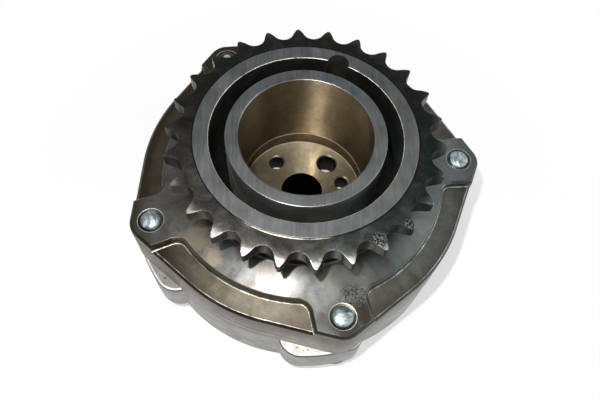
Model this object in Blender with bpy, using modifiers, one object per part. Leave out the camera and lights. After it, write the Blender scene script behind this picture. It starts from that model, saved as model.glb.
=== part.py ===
"""Vane-type cam phaser with a roller-chain sprocket, standing on its end face. Metres, +Z up.

The origin is on the axis at the housing's end face. +Y runs through the middle of the wide sector
between the ears, where the wide vane works.
"""

import math

import bmesh
import bpy
from mathutils import Matrix, Vector

# Clearances
SEAT_GAP = 0.0003
RUNNING_GAP = 0.0003
JOURNAL_GAP = 0.00025
TIP_GAP = 0.0004
THREAD_GAP = 0.00015
CUT_MARGIN = 0.002

# Heights of the stack, from the end face up
END_WALL = 0.0068
VANE_HEIGHT = 0.0245
PLATE_THICKNESS = 0.0051
NECK_HEIGHT = 0.0118
SPROCKET_WIDTH = 0.0054
COLLAR_RISE = 0.0005
BORE_DEPTH = 0.03425
RELIEF_HEIGHT = 0.00435

# Chain wheel
CHAIN_PITCH = 0.009525
TOOTH_COUNT = 26
ROLLER_SEAT_SHARE = 0.336
SEAT_HALF_ANGLE = 65.0
FLANK_SHARE = 1.68
TIP_SHARE = 0.147
TOOTH_PHASE = 2.7
TOOTH_BEVEL_START = 0.0004
TOOTH_BEVEL_ANGLE = 9.0

# Walls and steps inside the tooth roots, from the neck in to the camshaft's bore
NECK_STEP = 0.0033
COLLAR_STEP = 0.0005
COLLAR_WALL = 0.0044
HUB_GROOVE = 0.0046
HUB_WALL = 0.00385
RELIEF_UNDERCUT = 0.0006
NECK_FILLET = 0.0021
EDGE_CHAMFER = 0.0004
NOTCH_RADIUS = 0.0033
NOTCH_ANGLE = 96.3

# Plate, ears and pockets
PLATE_CHAMFER = 0.0007
EAR_ANGLES = (31.0, 149.0, 230.5, 309.5)
EAR_INSET = 0.0013
EAR_TIP_RADIUS = 0.0063
EAR_LAND_HALF_WIDTH = 0.0085
POCKET_REACH = 0.00555
LAND_FILLET = 0.0034
LAND_OVERHANG = 0.0001
POCKET_DEPTH = 0.0024

# Housing
HOUSING_WALL = 0.0091
CHAMBER_FILLET = 0.0021
WEB_HALF_ANGLE = 15.5
BOSS_TOP = 0.0196
BOSS_BOTTOM = 0.0062
BOSS_REACH = 0.0060
BOSS_SHORT_ANGLE = 9.6
BOSS_SHORT_FILLET = 0.0060
BOSS_LONG_ANGLE = 21.0
BOSS_LONG_FILLET = 0.0070
BOSS_LONG_TOWARD = (1, -1, 1, -1)
BOSS_CHAMFER = 0.0008
WALL_STEP = 0.0003
END_OPENING_SHARE = 0.77
END_RECESS_DEPTH = 0.0012
END_BOSS_WIDTH = 0.0032
END_LAND_OVERLAP = 0.0052
END_CHAMFER = 0.0012
SCALLOP_GAP = 0.0012
SPOT_FACE_DEPTH = 0.0004

# Rotor
ROTOR_SHOULDER = 0.0027
VANE_REACH = 0.0154
VANE_ANGLES = (90.0, 189.75, 270.0, 350.25)
THIN_VANE_HALF_WIDTH = 0.0048
WIDE_VANE_HALF_ANGLE = 30.0
VANE_FILLET = 0.0016
CAM_BOLT_HOLE_SHARE = 0.351
CAM_BOLT_SEAT_SHARE = 0.636
CAM_BOLT_SEAT_DEPTH = 0.0006
FLOOR_HOLE_CIRCLE_SHARE = 0.707
FEED_HOLE_SHARE = 0.112
DOWEL_HOLE_SHARE = 0.16
FLOOR_HOLE_ANGLES = (154.9, 78.6, 41.6)
FLOOR_HOLE_DEPTH = 0.0087
FLOOR_HOLE_CHAMFER = 0.0004
PORT_RADIUS = 0.0015
PORT_DEPTH = 0.0060
LOW_PORT_RISE = 0.0051
HIGH_PORT_RISE = 0.0109

# Seals and their leaf springs
SEAL_SLOT_WIDTH = 0.0030
SEAL_SLOT_DEPTH = 0.0045
SEAL_SIDE_GAP = 0.0002
SEAL_HEIGHT = 0.0027
SEAL_SPRING_THICKNESS = 0.00025
SEAL_SPRING_RISE = 0.0008
WIDE_VANE_SEAL_OFFSET = 9.0

# Lock pin
LOCK_PIN_SHARE = 0.5
LOCK_PIN_OFFSET = -13.0
PARK_ANGLE = -12.0
LOCK_PIN_RADIUS = 0.00365
LOCK_PIN_HEAD_STEP = 0.0009
LOCK_PIN_HEAD_HEIGHT = 0.0038
LOCK_PIN_STROKE = 0.0042
LOCK_PIN_OVERTRAVEL = 0.0015
LOCK_PIN_WALL = 0.0014
LOCK_SHOULDER_HEIGHT = 0.0045
LOCK_SPRING_WIRE = 0.00055
LOCK_SPRING_TURNS = 7
LOCK_CAP_THICKNESS = 0.0015
LOCK_VENT_RADIUS = 0.0010
LOCK_BUSH_WALL = 0.0017
LOCK_BUSH_DEPTH = 0.0045

# Cover bolts
BOLT_RADIUS = 0.0030
BOLT_HOLE_GAP = 0.0003
BOLT_END_RISE = 0.0011
BOLT_HEAD_FLANGE_STEP = 0.0032
BOLT_HEAD_FLANGE = 0.0013
BOLT_HEAD_HEIGHT = 0.0058
BOLT_HEAD_HALF_STEP = 0.0010
EAR_COUNTERSINK = 0.0008

# Places that follow from the sizes above
ROTOR_BOTTOM = END_WALL + RUNNING_GAP
ROTOR_TOP = ROTOR_BOTTOM + VANE_HEIGHT
PLATE_BOTTOM = ROTOR_TOP + RUNNING_GAP
HOUSING_TOP = PLATE_BOTTOM - SEAT_GAP
PLATE_TOP = PLATE_BOTTOM + PLATE_THICKNESS
POCKET_FLOOR = PLATE_TOP - POCKET_DEPTH
SPROCKET_BOTTOM = PLATE_TOP + NECK_HEIGHT
SPROCKET_TOP = SPROCKET_BOTTOM + SPROCKET_WIDTH
COLLAR_TOP = SPROCKET_TOP + COLLAR_RISE
BORE_FLOOR = COLLAR_TOP - BORE_DEPTH
RELIEF_TOP = BORE_FLOOR + RELIEF_HEIGHT
PITCH_RADIUS = CHAIN_PITCH / 2 / math.sin(math.pi / TOOTH_COUNT)
ROLLER_SEAT_RADIUS = ROLLER_SEAT_SHARE * CHAIN_PITCH
FLANK_RADIUS = FLANK_SHARE * CHAIN_PITCH
TIP_RADIUS = PITCH_RADIUS + TIP_SHARE * CHAIN_PITCH
ROOT_RADIUS = PITCH_RADIUS - ROLLER_SEAT_RADIUS
NECK_RADIUS = ROOT_RADIUS - NECK_STEP
COLLAR_RADIUS = NECK_RADIUS - COLLAR_STEP
COLLAR_BORE_RADIUS = COLLAR_RADIUS - COLLAR_WALL
HUB_RADIUS = COLLAR_BORE_RADIUS - HUB_GROOVE
CAM_BORE_RADIUS = HUB_RADIUS - HUB_WALL
ROTOR_RADIUS = HUB_RADIUS + ROTOR_SHOULDER
CHAMBER_RADIUS = ROTOR_RADIUS + VANE_REACH
PLATE_RADIUS = CHAMBER_RADIUS + HOUSING_WALL
BOLT_CIRCLE_RADIUS = PLATE_RADIUS - EAR_INSET
BOSS_RADIUS = BOLT_CIRCLE_RADIUS + BOSS_REACH
LAND_RADIUS = BOLT_CIRCLE_RADIUS - POCKET_REACH
VANE_TIP_RADIUS = CHAMBER_RADIUS - TIP_GAP
WEB_TIP_RADIUS = ROTOR_RADIUS + TIP_GAP
END_LAND_INNER_RADIUS = CHAMBER_RADIUS - END_LAND_OVERLAP
END_OPENING_RADIUS = END_OPENING_SHARE * CAM_BORE_RADIUS
CAM_BOLT_HOLE_RADIUS = CAM_BOLT_HOLE_SHARE * CAM_BORE_RADIUS
CAM_BOLT_SEAT_RADIUS = CAM_BOLT_SEAT_SHARE * CAM_BORE_RADIUS
FLOOR_HOLE_CIRCLE = FLOOR_HOLE_CIRCLE_SHARE * CAM_BORE_RADIUS
FEED_HOLE_RADIUS = FEED_HOLE_SHARE * CAM_BORE_RADIUS
DOWEL_HOLE_RADIUS = DOWEL_HOLE_SHARE * CAM_BORE_RADIUS
FLOOR_HOLE_RADII = (FEED_HOLE_RADIUS, DOWEL_HOLE_RADIUS, FEED_HOLE_RADIUS)
LOW_PORT_HEIGHT = ROTOR_BOTTOM + LOW_PORT_RISE
HIGH_PORT_HEIGHT = ROTOR_BOTTOM + HIGH_PORT_RISE
BOLT_HOLE_RADIUS = BOLT_RADIUS + BOLT_HOLE_GAP
BOLT_HEAD_FLANGE_RADIUS = BOLT_RADIUS + BOLT_HEAD_FLANGE_STEP
BOLT_HEAD_HALF_WIDTH = BOLT_RADIUS + BOLT_HEAD_HALF_STEP
SCALLOP_RADIUS = BOLT_HEAD_FLANGE_RADIUS + SCALLOP_GAP
HEAD_SEAT = BOSS_BOTTOM + SPOT_FACE_DEPTH
SEAL_WIDTH = SEAL_SLOT_WIDTH - 2 * SEAL_SIDE_GAP
LOCK_PIN_CIRCLE = ROTOR_RADIUS + LOCK_PIN_SHARE * VANE_REACH
LOCK_PIN_ANGLE = VANE_ANGLES[0] + LOCK_PIN_OFFSET
LOCK_PIN_HEAD_RADIUS = LOCK_PIN_RADIUS + LOCK_PIN_HEAD_STEP

ROUND_STEPS = 3 * TOOTH_COUNT
BOLT_STEPS = 24
HOLE_STEPS = 16


def clear_scene():
    for old in list(bpy.data.objects):
        bpy.data.objects.remove(old, do_unlink=True)


def new_collection(name):
    made = bpy.data.collections.new(name)
    bpy.context.scene.collection.children.link(made)
    return made


def new_material(name, color, roughness, metallic):
    made = bpy.data.materials.new(name)
    made.use_nodes = True
    shader = made.node_tree.nodes["Principled BSDF"]
    shader.inputs["Base Color"].default_value = (*color, 1.0)
    shader.inputs["Roughness"].default_value = roughness
    shader.inputs["Metallic"].default_value = metallic
    return made


def polar(radius, degrees):
    angle = math.radians(degrees)
    return Vector((radius * math.cos(angle), radius * math.sin(angle)))


def arc(center, radius, start, end, steps):
    """Points on a circle from start to end degrees, both included."""
    turn = (end - start) / steps
    return [Vector(center) + polar(radius, start + turn * i) for i in range(steps + 1)]


def in_frame(degrees, along, across):
    """A point given along and across the radius that stands at this angle."""
    return Matrix.Rotation(math.radians(degrees), 2) @ Vector((along, across))


def direction(vector):
    return math.degrees(math.atan2(vector.y, vector.x))


def corner(degrees, offset, circle, fillet, outside, toward, steps=4):
    """The fillet between a circle about the axis and a line along the radius at this angle.

    The line lies offset across from that radius. The fillet's centre is toward (+1 or -1) the line's
    side, outside or inside the circle. The points run from the circle to the line.
    """
    reach = circle + fillet if outside else circle - fillet
    across = offset + toward * fillet
    center = in_frame(degrees, math.sqrt(reach ** 2 - across ** 2), across)
    start = direction(-center if outside else center)
    end = degrees - 90 * toward
    turn = (end - start + 180) % 360 - 180
    return arc(center, fillet, start, start + turn, steps)


def new_object(name, mesh, where, material=None):
    made = bpy.data.objects.new(name, mesh)
    where.objects.link(made)
    if material:
        mesh.materials.append(material)
    return made


def as_cutter(made):
    made.hide_render = True
    made.display_type = "WIRE"
    return made


def turned(name, profile, where, material=None, steps=ROUND_STEPS, closed=True):
    """A solid of revolution. The profile runs down its outer side; a closed one comes back up inside."""
    mesh = bpy.data.meshes.new(name)
    count = len(profile)
    edges = [(i, i + 1) for i in range(count - 1)]
    if closed:
        edges.append((count - 1, 0))
    mesh.from_pydata([(r, 0.0, z) for r, z in profile], edges, [])
    made = new_object(name, mesh, where, material)
    screw = made.modifiers.new("Turn", "SCREW")
    screw.steps = steps
    screw.render_steps = steps
    screw.use_merge_vertices = True
    screw.merge_threshold = 0.00001
    screw.use_smooth_shade = False
    return made


def extruded(name, outline, bottom, top, where, material=None, chamfer=0.0, ends="both"):
    """A flat outline made a prism, with a chamfer round its "top", its "bottom" or both."""
    low = bottom - (chamfer if ends == "top" else 0.0)
    high = top + (chamfer if ends == "bottom" else 0.0)
    curve = bpy.data.curves.new(name, "CURVE")
    curve.dimensions = "2D"
    curve.fill_mode = "BOTH"
    curve.extrude = (high - low) / 2 - chamfer
    curve.bevel_depth = chamfer
    curve.bevel_resolution = 0
    curve.offset = -chamfer
    spline = curve.splines.new("POLY")
    spline.points.add(len(outline) - 1)
    for point, place in zip(spline.points, outline):
        point.co = (place.x, place.y, 0.0, 1.0)
    spline.use_cyclic_u = True
    drawn = bpy.data.objects.new(name + "_curve", curve)
    where.objects.link(drawn)
    bpy.context.view_layer.update()
    graph = bpy.context.evaluated_depsgraph_get()
    mesh = bpy.data.meshes.new_from_object(drawn.evaluated_get(graph))
    bpy.data.objects.remove(drawn, do_unlink=True)
    mesh.transform(Matrix.Translation((0.0, 0.0, (high + low) / 2)))
    welded = bmesh.new()
    welded.from_mesh(mesh)
    bmesh.ops.remove_doubles(welded, verts=welded.verts, dist=0.000001)
    if chamfer and ends != "both":
        plane = bottom if ends == "top" else top
        side = 1 if ends == "top" else -1
        whole = list(welded.verts) + list(welded.edges) + list(welded.faces)
        cut = bmesh.ops.bisect_plane(welded, geom=whole, plane_co=(0.0, 0.0, plane),
                                     plane_no=(0.0, 0.0, side), clear_inner=True)
        rim = [part for part in cut["geom_cut"] if isinstance(part, bmesh.types.BMEdge)]
        bmesh.ops.edgeloop_fill(welded, edges=rim)
    bmesh.ops.recalc_face_normals(welded, faces=welded.faces)
    welded.to_mesh(mesh)
    welded.free()
    mesh.name = name
    mesh.materials.clear()
    return new_object(name, mesh, where, material)


def cylinder(name, radius, bottom, top, where, place=(0.0, 0.0), steps=HOLE_STEPS, material=None,
             end_radius=None):
    """A plain cylinder, or a cone frustum where end_radius gives its radius at the top."""
    made = bmesh.new()
    bmesh.ops.create_cone(
        made,
        cap_ends=True,
        segments=steps,
        radius1=radius,
        radius2=radius if end_radius is None else end_radius,
        depth=top - bottom,
        matrix=Matrix.Translation((place[0], place[1], (top + bottom) / 2)),
    )
    mesh = bpy.data.meshes.new(name)
    made.to_mesh(mesh)
    made.free()
    return new_object(name, mesh, where, material)


def combine(target, tool, operation="DIFFERENCE"):
    as_cutter(tool)
    step = target.modifiers.new(operation.title() + " " + tool.name, "BOOLEAN")
    step.operation = operation
    step.solver = "EXACT"
    step.object = tool
    return target


def shade_round(made, degrees=32.0):
    made.data.shade_smooth()
    made.data.set_sharp_from_angle(angle=math.radians(degrees))


def tooth_outline():
    """The chain wheel's outline: a roller seat, two convex flanks and a narrow tip land for each tooth."""
    pitch = 360.0 / TOOTH_COUNT
    seat_steps = 6
    flank_steps = 2
    seat = arc((PITCH_RADIUS, 0.0), ROLLER_SEAT_RADIUS, 180.0 + SEAT_HALF_ANGLE, 180.0 - SEAT_HALF_ANGLE,
               seat_steps)
    seat_end = seat[-1]
    normal = (seat_end - Vector((PITCH_RADIUS, 0.0))).normalized()
    flank_center = seat_end + normal * FLANK_RADIUS
    reach = flank_center.length
    along = (reach ** 2 + TIP_RADIUS ** 2 - FLANK_RADIUS ** 2) / (2 * reach)
    bearing = direction(flank_center) - math.degrees(math.acos(along / TIP_RADIUS))
    flank_end = polar(TIP_RADIUS, bearing)
    start = direction(-normal)
    end = direction(flank_end - flank_center)
    flank = arc(flank_center, FLANK_RADIUS, start, end, flank_steps)[1:]
    half = [point for point in seat[seat_steps // 2:]] + flank
    gap = [Vector((point.x, -point.y)) for point in reversed(half[1:])] + half
    outline = []
    for number in range(TOOTH_COUNT):
        middle = 90.0 + TOOTH_PHASE + (number + 0.5) * pitch
        outline += [in_frame(middle, point.x, point.y) for point in gap]
    return outline


def ear_lean():
    """How far the flanks of an ear turn from its own radius, where they run tangent to the plate."""
    return math.degrees(math.acos((PLATE_RADIUS - EAR_TIP_RADIUS) / BOLT_CIRCLE_RADIUS))


def eared_outline(inset=0.0):
    """The plate's outline: its round with an ear at each bolt, whose flanks run tangent to the round."""
    lean = ear_lean()
    outline = []
    for number, angle in enumerate(EAR_ANGLES):
        following = EAR_ANGLES[(number + 1) % len(EAR_ANGLES)]
        span = (following - angle) % 360 - 2 * lean
        outline += arc(polar(BOLT_CIRCLE_RADIUS, angle), EAR_TIP_RADIUS - inset, angle - lean, angle + lean, 8)
        outline += arc((0.0, 0.0), PLATE_RADIUS - inset, angle + lean, angle + lean + span,
                       max(2, round(span / 4)))
    return outline


def land_outline():
    """The plate's raised land: a round with an arm out to each ear, between the pockets."""
    lean = ear_lean()
    outline = []
    arms = []
    for angle in EAR_ANGLES:
        right = corner(angle, -EAR_LAND_HALF_WIDTH, LAND_RADIUS, LAND_FILLET, True, -1)
        left = corner(angle, EAR_LAND_HALF_WIDTH, LAND_RADIUS, LAND_FILLET, True, 1)
        arms.append((right, left))
    flank = math.radians(lean)
    spare = EAR_LAND_HALF_WIDTH - EAR_TIP_RADIUS * math.sin(flank)
    reach = BOLT_CIRCLE_RADIUS + EAR_TIP_RADIUS * math.cos(flank) - spare * math.tan(flank)
    for number, angle in enumerate(EAR_ANGLES):
        right, left = arms[number]
        following = arms[(number + 1) % len(arms)][0]
        outline += right + [in_frame(angle, reach, -EAR_LAND_HALF_WIDTH)]
        outline += arc(polar(BOLT_CIRCLE_RADIUS, angle), EAR_TIP_RADIUS, angle - lean, angle + lean, 8)
        outline += [in_frame(angle, reach, EAR_LAND_HALF_WIDTH)] + list(reversed(left))
        outline += around(LAND_RADIUS, direction(left[0]), direction(following[0]))
    return outline


def slot(angle, mouth, bottom):
    """A seal's slot across an outline that is followed anticlockwise, from its mouth to its bottom."""
    half = SEAL_SLOT_WIDTH / 2
    lip = math.sqrt(mouth ** 2 - half ** 2)
    return [
        in_frame(angle, lip, -half),
        in_frame(angle, bottom, -half),
        in_frame(angle, bottom, half),
        in_frame(angle, lip, half),
    ]


def around(radius, start, end, step=5.0):
    """Points strictly between two angles on a circle about the axis, going anticlockwise."""
    span = (end - start) % 360
    count = max(1, round(span / step))
    return arc((0.0, 0.0), radius, start, start + span, count)[1:-1]


def cavity_outline():
    """The housing's pressure chambers, with a web reaching in at each bolt and a seal slot in its tip."""
    outline = []
    corners = []
    for angle in EAR_ANGLES:
        right = corner(angle - WEB_HALF_ANGLE, 0.0, CHAMBER_RADIUS, CHAMBER_FILLET, False, -1)
        left = corner(angle + WEB_HALF_ANGLE, 0.0, CHAMBER_RADIUS, CHAMBER_FILLET, False, 1)
        corners.append((right, left))
    for number, angle in enumerate(EAR_ANGLES):
        right, left = corners[number]
        following = corners[(number + 1) % len(corners)][0]
        tip_slot = slot(angle, WEB_TIP_RADIUS, WEB_TIP_RADIUS + SEAL_SLOT_DEPTH)
        web_start, web_end = angle - WEB_HALF_ANGLE, angle + WEB_HALF_ANGLE
        outline += right
        outline += [polar(WEB_TIP_RADIUS, web_start)]
        outline += around(WEB_TIP_RADIUS, web_start, direction(tip_slot[0]))
        outline += tip_slot
        outline += around(WEB_TIP_RADIUS, direction(tip_slot[-1]), web_end)
        outline += [polar(WEB_TIP_RADIUS, web_end)]
        outline += list(reversed(left))
        outline += around(CHAMBER_RADIUS, direction(left[0]), direction(following[0]))
    return outline


def vane_edges(number):
    """For one vane, the angle and offset of its two flanks and the angle of its seal."""
    angle = VANE_ANGLES[number]
    if number == 0:
        sides = ((angle - WIDE_VANE_HALF_ANGLE, 0.0), (angle + WIDE_VANE_HALF_ANGLE, 0.0))
        return (*sides, angle + WIDE_VANE_SEAL_OFFSET)
    return (angle, -THIN_VANE_HALF_WIDTH), (angle, THIN_VANE_HALF_WIDTH), angle


def rotor_outline():
    """The rotor's body with its four vanes and their seal slots."""
    outline = []
    feet = []
    for number in range(len(VANE_ANGLES)):
        (right_angle, right_offset), (left_angle, left_offset), _ = vane_edges(number)
        right = corner(right_angle, right_offset, ROTOR_RADIUS, VANE_FILLET, True, -1)
        left = corner(left_angle, left_offset, ROTOR_RADIUS, VANE_FILLET, True, 1)
        feet.append((right, left))
    for number in range(len(VANE_ANGLES)):
        (right_angle, right_offset), (left_angle, left_offset), seal_angle = vane_edges(number)
        right, left = feet[number]
        following = feet[(number + 1) % len(feet)][0]
        tip_start = in_frame(right_angle, math.sqrt(VANE_TIP_RADIUS ** 2 - right_offset ** 2), right_offset)
        tip_end = in_frame(left_angle, math.sqrt(VANE_TIP_RADIUS ** 2 - left_offset ** 2), left_offset)
        tip_slot = slot(seal_angle, VANE_TIP_RADIUS, VANE_TIP_RADIUS - SEAL_SLOT_DEPTH)
        outline += right + [tip_start]
        outline += around(VANE_TIP_RADIUS, direction(tip_start), direction(tip_slot[0]))
        outline += tip_slot
        outline += around(VANE_TIP_RADIUS, direction(tip_slot[-1]), direction(tip_end))
        outline += [tip_end] + list(reversed(left))
        outline += around(ROTOR_RADIUS, direction(left[0]), direction(following[0]))
    return outline


def boss_outline(angle, toward):
    """A bolt boss: a stretch of a larger round with rounded ends, the longer one toward +1 or -1."""
    root = CHAMBER_RADIUS + CHAMBER_FILLET
    short, long = (BOSS_SHORT_ANGLE, BOSS_SHORT_FILLET), (BOSS_LONG_ANGLE, BOSS_LONG_FILLET)
    low, high = (short, long) if toward > 0 else (long, short)
    start, end = angle - low[0], angle + high[0]
    right = corner(start, 0.0, BOSS_RADIUS, low[1], False, 1, 5)
    left = corner(end, 0.0, BOSS_RADIUS, high[1], False, -1, 5)
    outer = around(BOSS_RADIUS, direction(right[0]), direction(left[0]), 4.0)
    inner = arc((0.0, 0.0), root, end, start, 4)
    return list(reversed(right)) + outer + left + inner


def make_sprocket_cover(parts, cutters, steel):
    """Collar, chain wheel, neck and eared plate: one sintered piece."""
    fillet = [
        (NECK_RADIUS + NECK_FILLET - NECK_FILLET * math.cos(math.radians(a)),
         PLATE_TOP + NECK_FILLET - NECK_FILLET * math.sin(math.radians(a)))
        for a in (0, 30, 60, 90)
    ]
    inside_plate = PLATE_TOP - PLATE_THICKNESS / 3
    profile = [
        (COLLAR_RADIUS - EDGE_CHAMFER, COLLAR_TOP),
        (COLLAR_RADIUS, COLLAR_TOP - EDGE_CHAMFER),
        (COLLAR_RADIUS, SPROCKET_BOTTOM + SPROCKET_WIDTH / 2),
        (NECK_RADIUS, SPROCKET_BOTTOM + SPROCKET_WIDTH / 2),
        *fillet,
        (NECK_RADIUS + NECK_FILLET, inside_plate),
        (COLLAR_BORE_RADIUS, inside_plate),
        (COLLAR_BORE_RADIUS, COLLAR_TOP - EDGE_CHAMFER),
        (COLLAR_BORE_RADIUS + EDGE_CHAMFER, COLLAR_TOP),
    ]
    cover = turned("sprocket_cover", profile, parts, steel)

    inner = (COLLAR_BORE_RADIUS + COLLAR_RADIUS) / 2
    bevel_start = ROOT_RADIUS + TOOTH_BEVEL_START
    beyond = TIP_RADIUS + CUT_MARGIN
    drop = (beyond - bevel_start) * math.tan(math.radians(TOOTH_BEVEL_ANGLE))
    blank = [
        (inner, SPROCKET_TOP),
        (bevel_start, SPROCKET_TOP),
        (beyond, SPROCKET_TOP - drop),
        (beyond, SPROCKET_BOTTOM + drop),
        (bevel_start, SPROCKET_BOTTOM),
        (inner, SPROCKET_BOTTOM),
    ]
    wheel = turned("wheel_blank", blank, cutters)
    teeth = extruded("wheel_teeth", tooth_outline(), SPROCKET_BOTTOM - CUT_MARGIN,
                     SPROCKET_TOP + CUT_MARGIN, cutters)
    combine(wheel, teeth, "INTERSECT")
    combine(cover, wheel, "UNION")

    plate = extruded("plate_blank", eared_outline(LAND_OVERHANG), PLATE_BOTTOM, POCKET_FLOOR, cutters,
                     chamfer=PLATE_CHAMFER, ends="top")
    land = extruded("plate_land", land_outline(), PLATE_BOTTOM + LAND_OVERHANG, PLATE_TOP, cutters,
                    chamfer=PLATE_CHAMFER, ends="top")
    combine(plate, land, "UNION")
    combine(plate, cylinder("journal_hole", HUB_RADIUS + JOURNAL_GAP, PLATE_BOTTOM - CUT_MARGIN,
                            PLATE_TOP + CUT_MARGIN, cutters, steps=ROUND_STEPS))
    combine(cover, plate, "UNION")

    for number, angle in enumerate(EAR_ANGLES):
        place = polar(BOLT_CIRCLE_RADIUS, angle)
        thread = BOLT_RADIUS + THREAD_GAP
        hole = cylinder(f"ear_hole_{number + 1}", thread, PLATE_BOTTOM - CUT_MARGIN, PLATE_TOP + CUT_MARGIN,
                        cutters, place, BOLT_STEPS)
        sink = cylinder(f"ear_sink_{number + 1}", thread - EAR_COUNTERSINK / 2,
                        PLATE_TOP - EAR_COUNTERSINK * 0.75, PLATE_TOP + EAR_COUNTERSINK / 2, cutters,
                        place, BOLT_STEPS, end_radius=thread + 2 * EAR_COUNTERSINK)
        combine(cover, hole)
        combine(cover, sink)
    notch = cylinder("collar_notch", NOTCH_RADIUS, PLATE_TOP + NOTCH_RADIUS, COLLAR_TOP + CUT_MARGIN,
                     cutters, polar(COLLAR_BORE_RADIUS, NOTCH_ANGLE))
    combine(cover, notch)
    return cover


def make_stator_housing(parts, cutters, cast):
    """The cast housing: end wall, chambers with four webs, and a bolt boss under each ear."""
    wall_radius = PLATE_RADIUS - WALL_STEP
    boss_ring = END_OPENING_RADIUS + END_BOSS_WIDTH
    profile = [
        (wall_radius, BOSS_TOP + CUT_MARGIN),
        (wall_radius, END_CHAMFER),
        (wall_radius - END_CHAMFER, 0.0),
        (END_LAND_INNER_RADIUS, 0.0),
        (END_LAND_INNER_RADIUS - END_RECESS_DEPTH, END_RECESS_DEPTH),
        (boss_ring + END_RECESS_DEPTH, END_RECESS_DEPTH),
        (boss_ring, 0.0),
        (END_OPENING_RADIUS + EDGE_CHAMFER, 0.0),
        (END_OPENING_RADIUS, EDGE_CHAMFER),
        (END_OPENING_RADIUS, BOSS_TOP + CUT_MARGIN),
    ]
    housing = turned("stator_housing", profile, parts, cast)
    band = extruded("housing_band", eared_outline(), BOSS_TOP, HOUSING_TOP, cutters, chamfer=EDGE_CHAMFER,
                    ends="bottom")
    combine(housing, band, "UNION")
    for number, angle in enumerate(EAR_ANGLES):
        boss = extruded(f"bolt_boss_{number + 1}", boss_outline(angle, BOSS_LONG_TOWARD[number]),
                        BOSS_BOTTOM, BOSS_TOP + EDGE_CHAMFER / 2, cutters, chamfer=BOSS_CHAMFER)
        combine(housing, boss, "UNION")
    cavity = extruded("chambers", cavity_outline(), END_WALL, HOUSING_TOP + CUT_MARGIN, cutters)
    combine(housing, cavity)
    for number, angle in enumerate(EAR_ANGLES):
        place = polar(BOLT_CIRCLE_RADIUS, angle)
        hole = cylinder(f"boss_hole_{number + 1}", BOLT_HOLE_RADIUS, -CUT_MARGIN, HOUSING_TOP + CUT_MARGIN,
                        cutters, place, BOLT_STEPS)
        scallop = cylinder(f"head_scallop_{number + 1}", SCALLOP_RADIUS, -CUT_MARGIN, HEAD_SEAT, cutters,
                           place, BOLT_STEPS)
        combine(housing, scallop)
        combine(housing, hole)
    bush_place = polar(LOCK_PIN_CIRCLE, LOCK_PIN_ANGLE + PARK_ANGLE)
    bush_floor = END_WALL - LOCK_BUSH_DEPTH - SEAT_GAP
    bush_seat = lock_bush_radius() + SEAT_GAP
    combine(housing, cylinder("bush_seat", bush_seat, bush_floor, END_WALL + CUT_MARGIN, cutters,
                              bush_place, BOLT_STEPS))
    combine(housing, cylinder("bush_vent", LOCK_VENT_RADIUS, -CUT_MARGIN, END_WALL, cutters, bush_place))
    return housing


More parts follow.
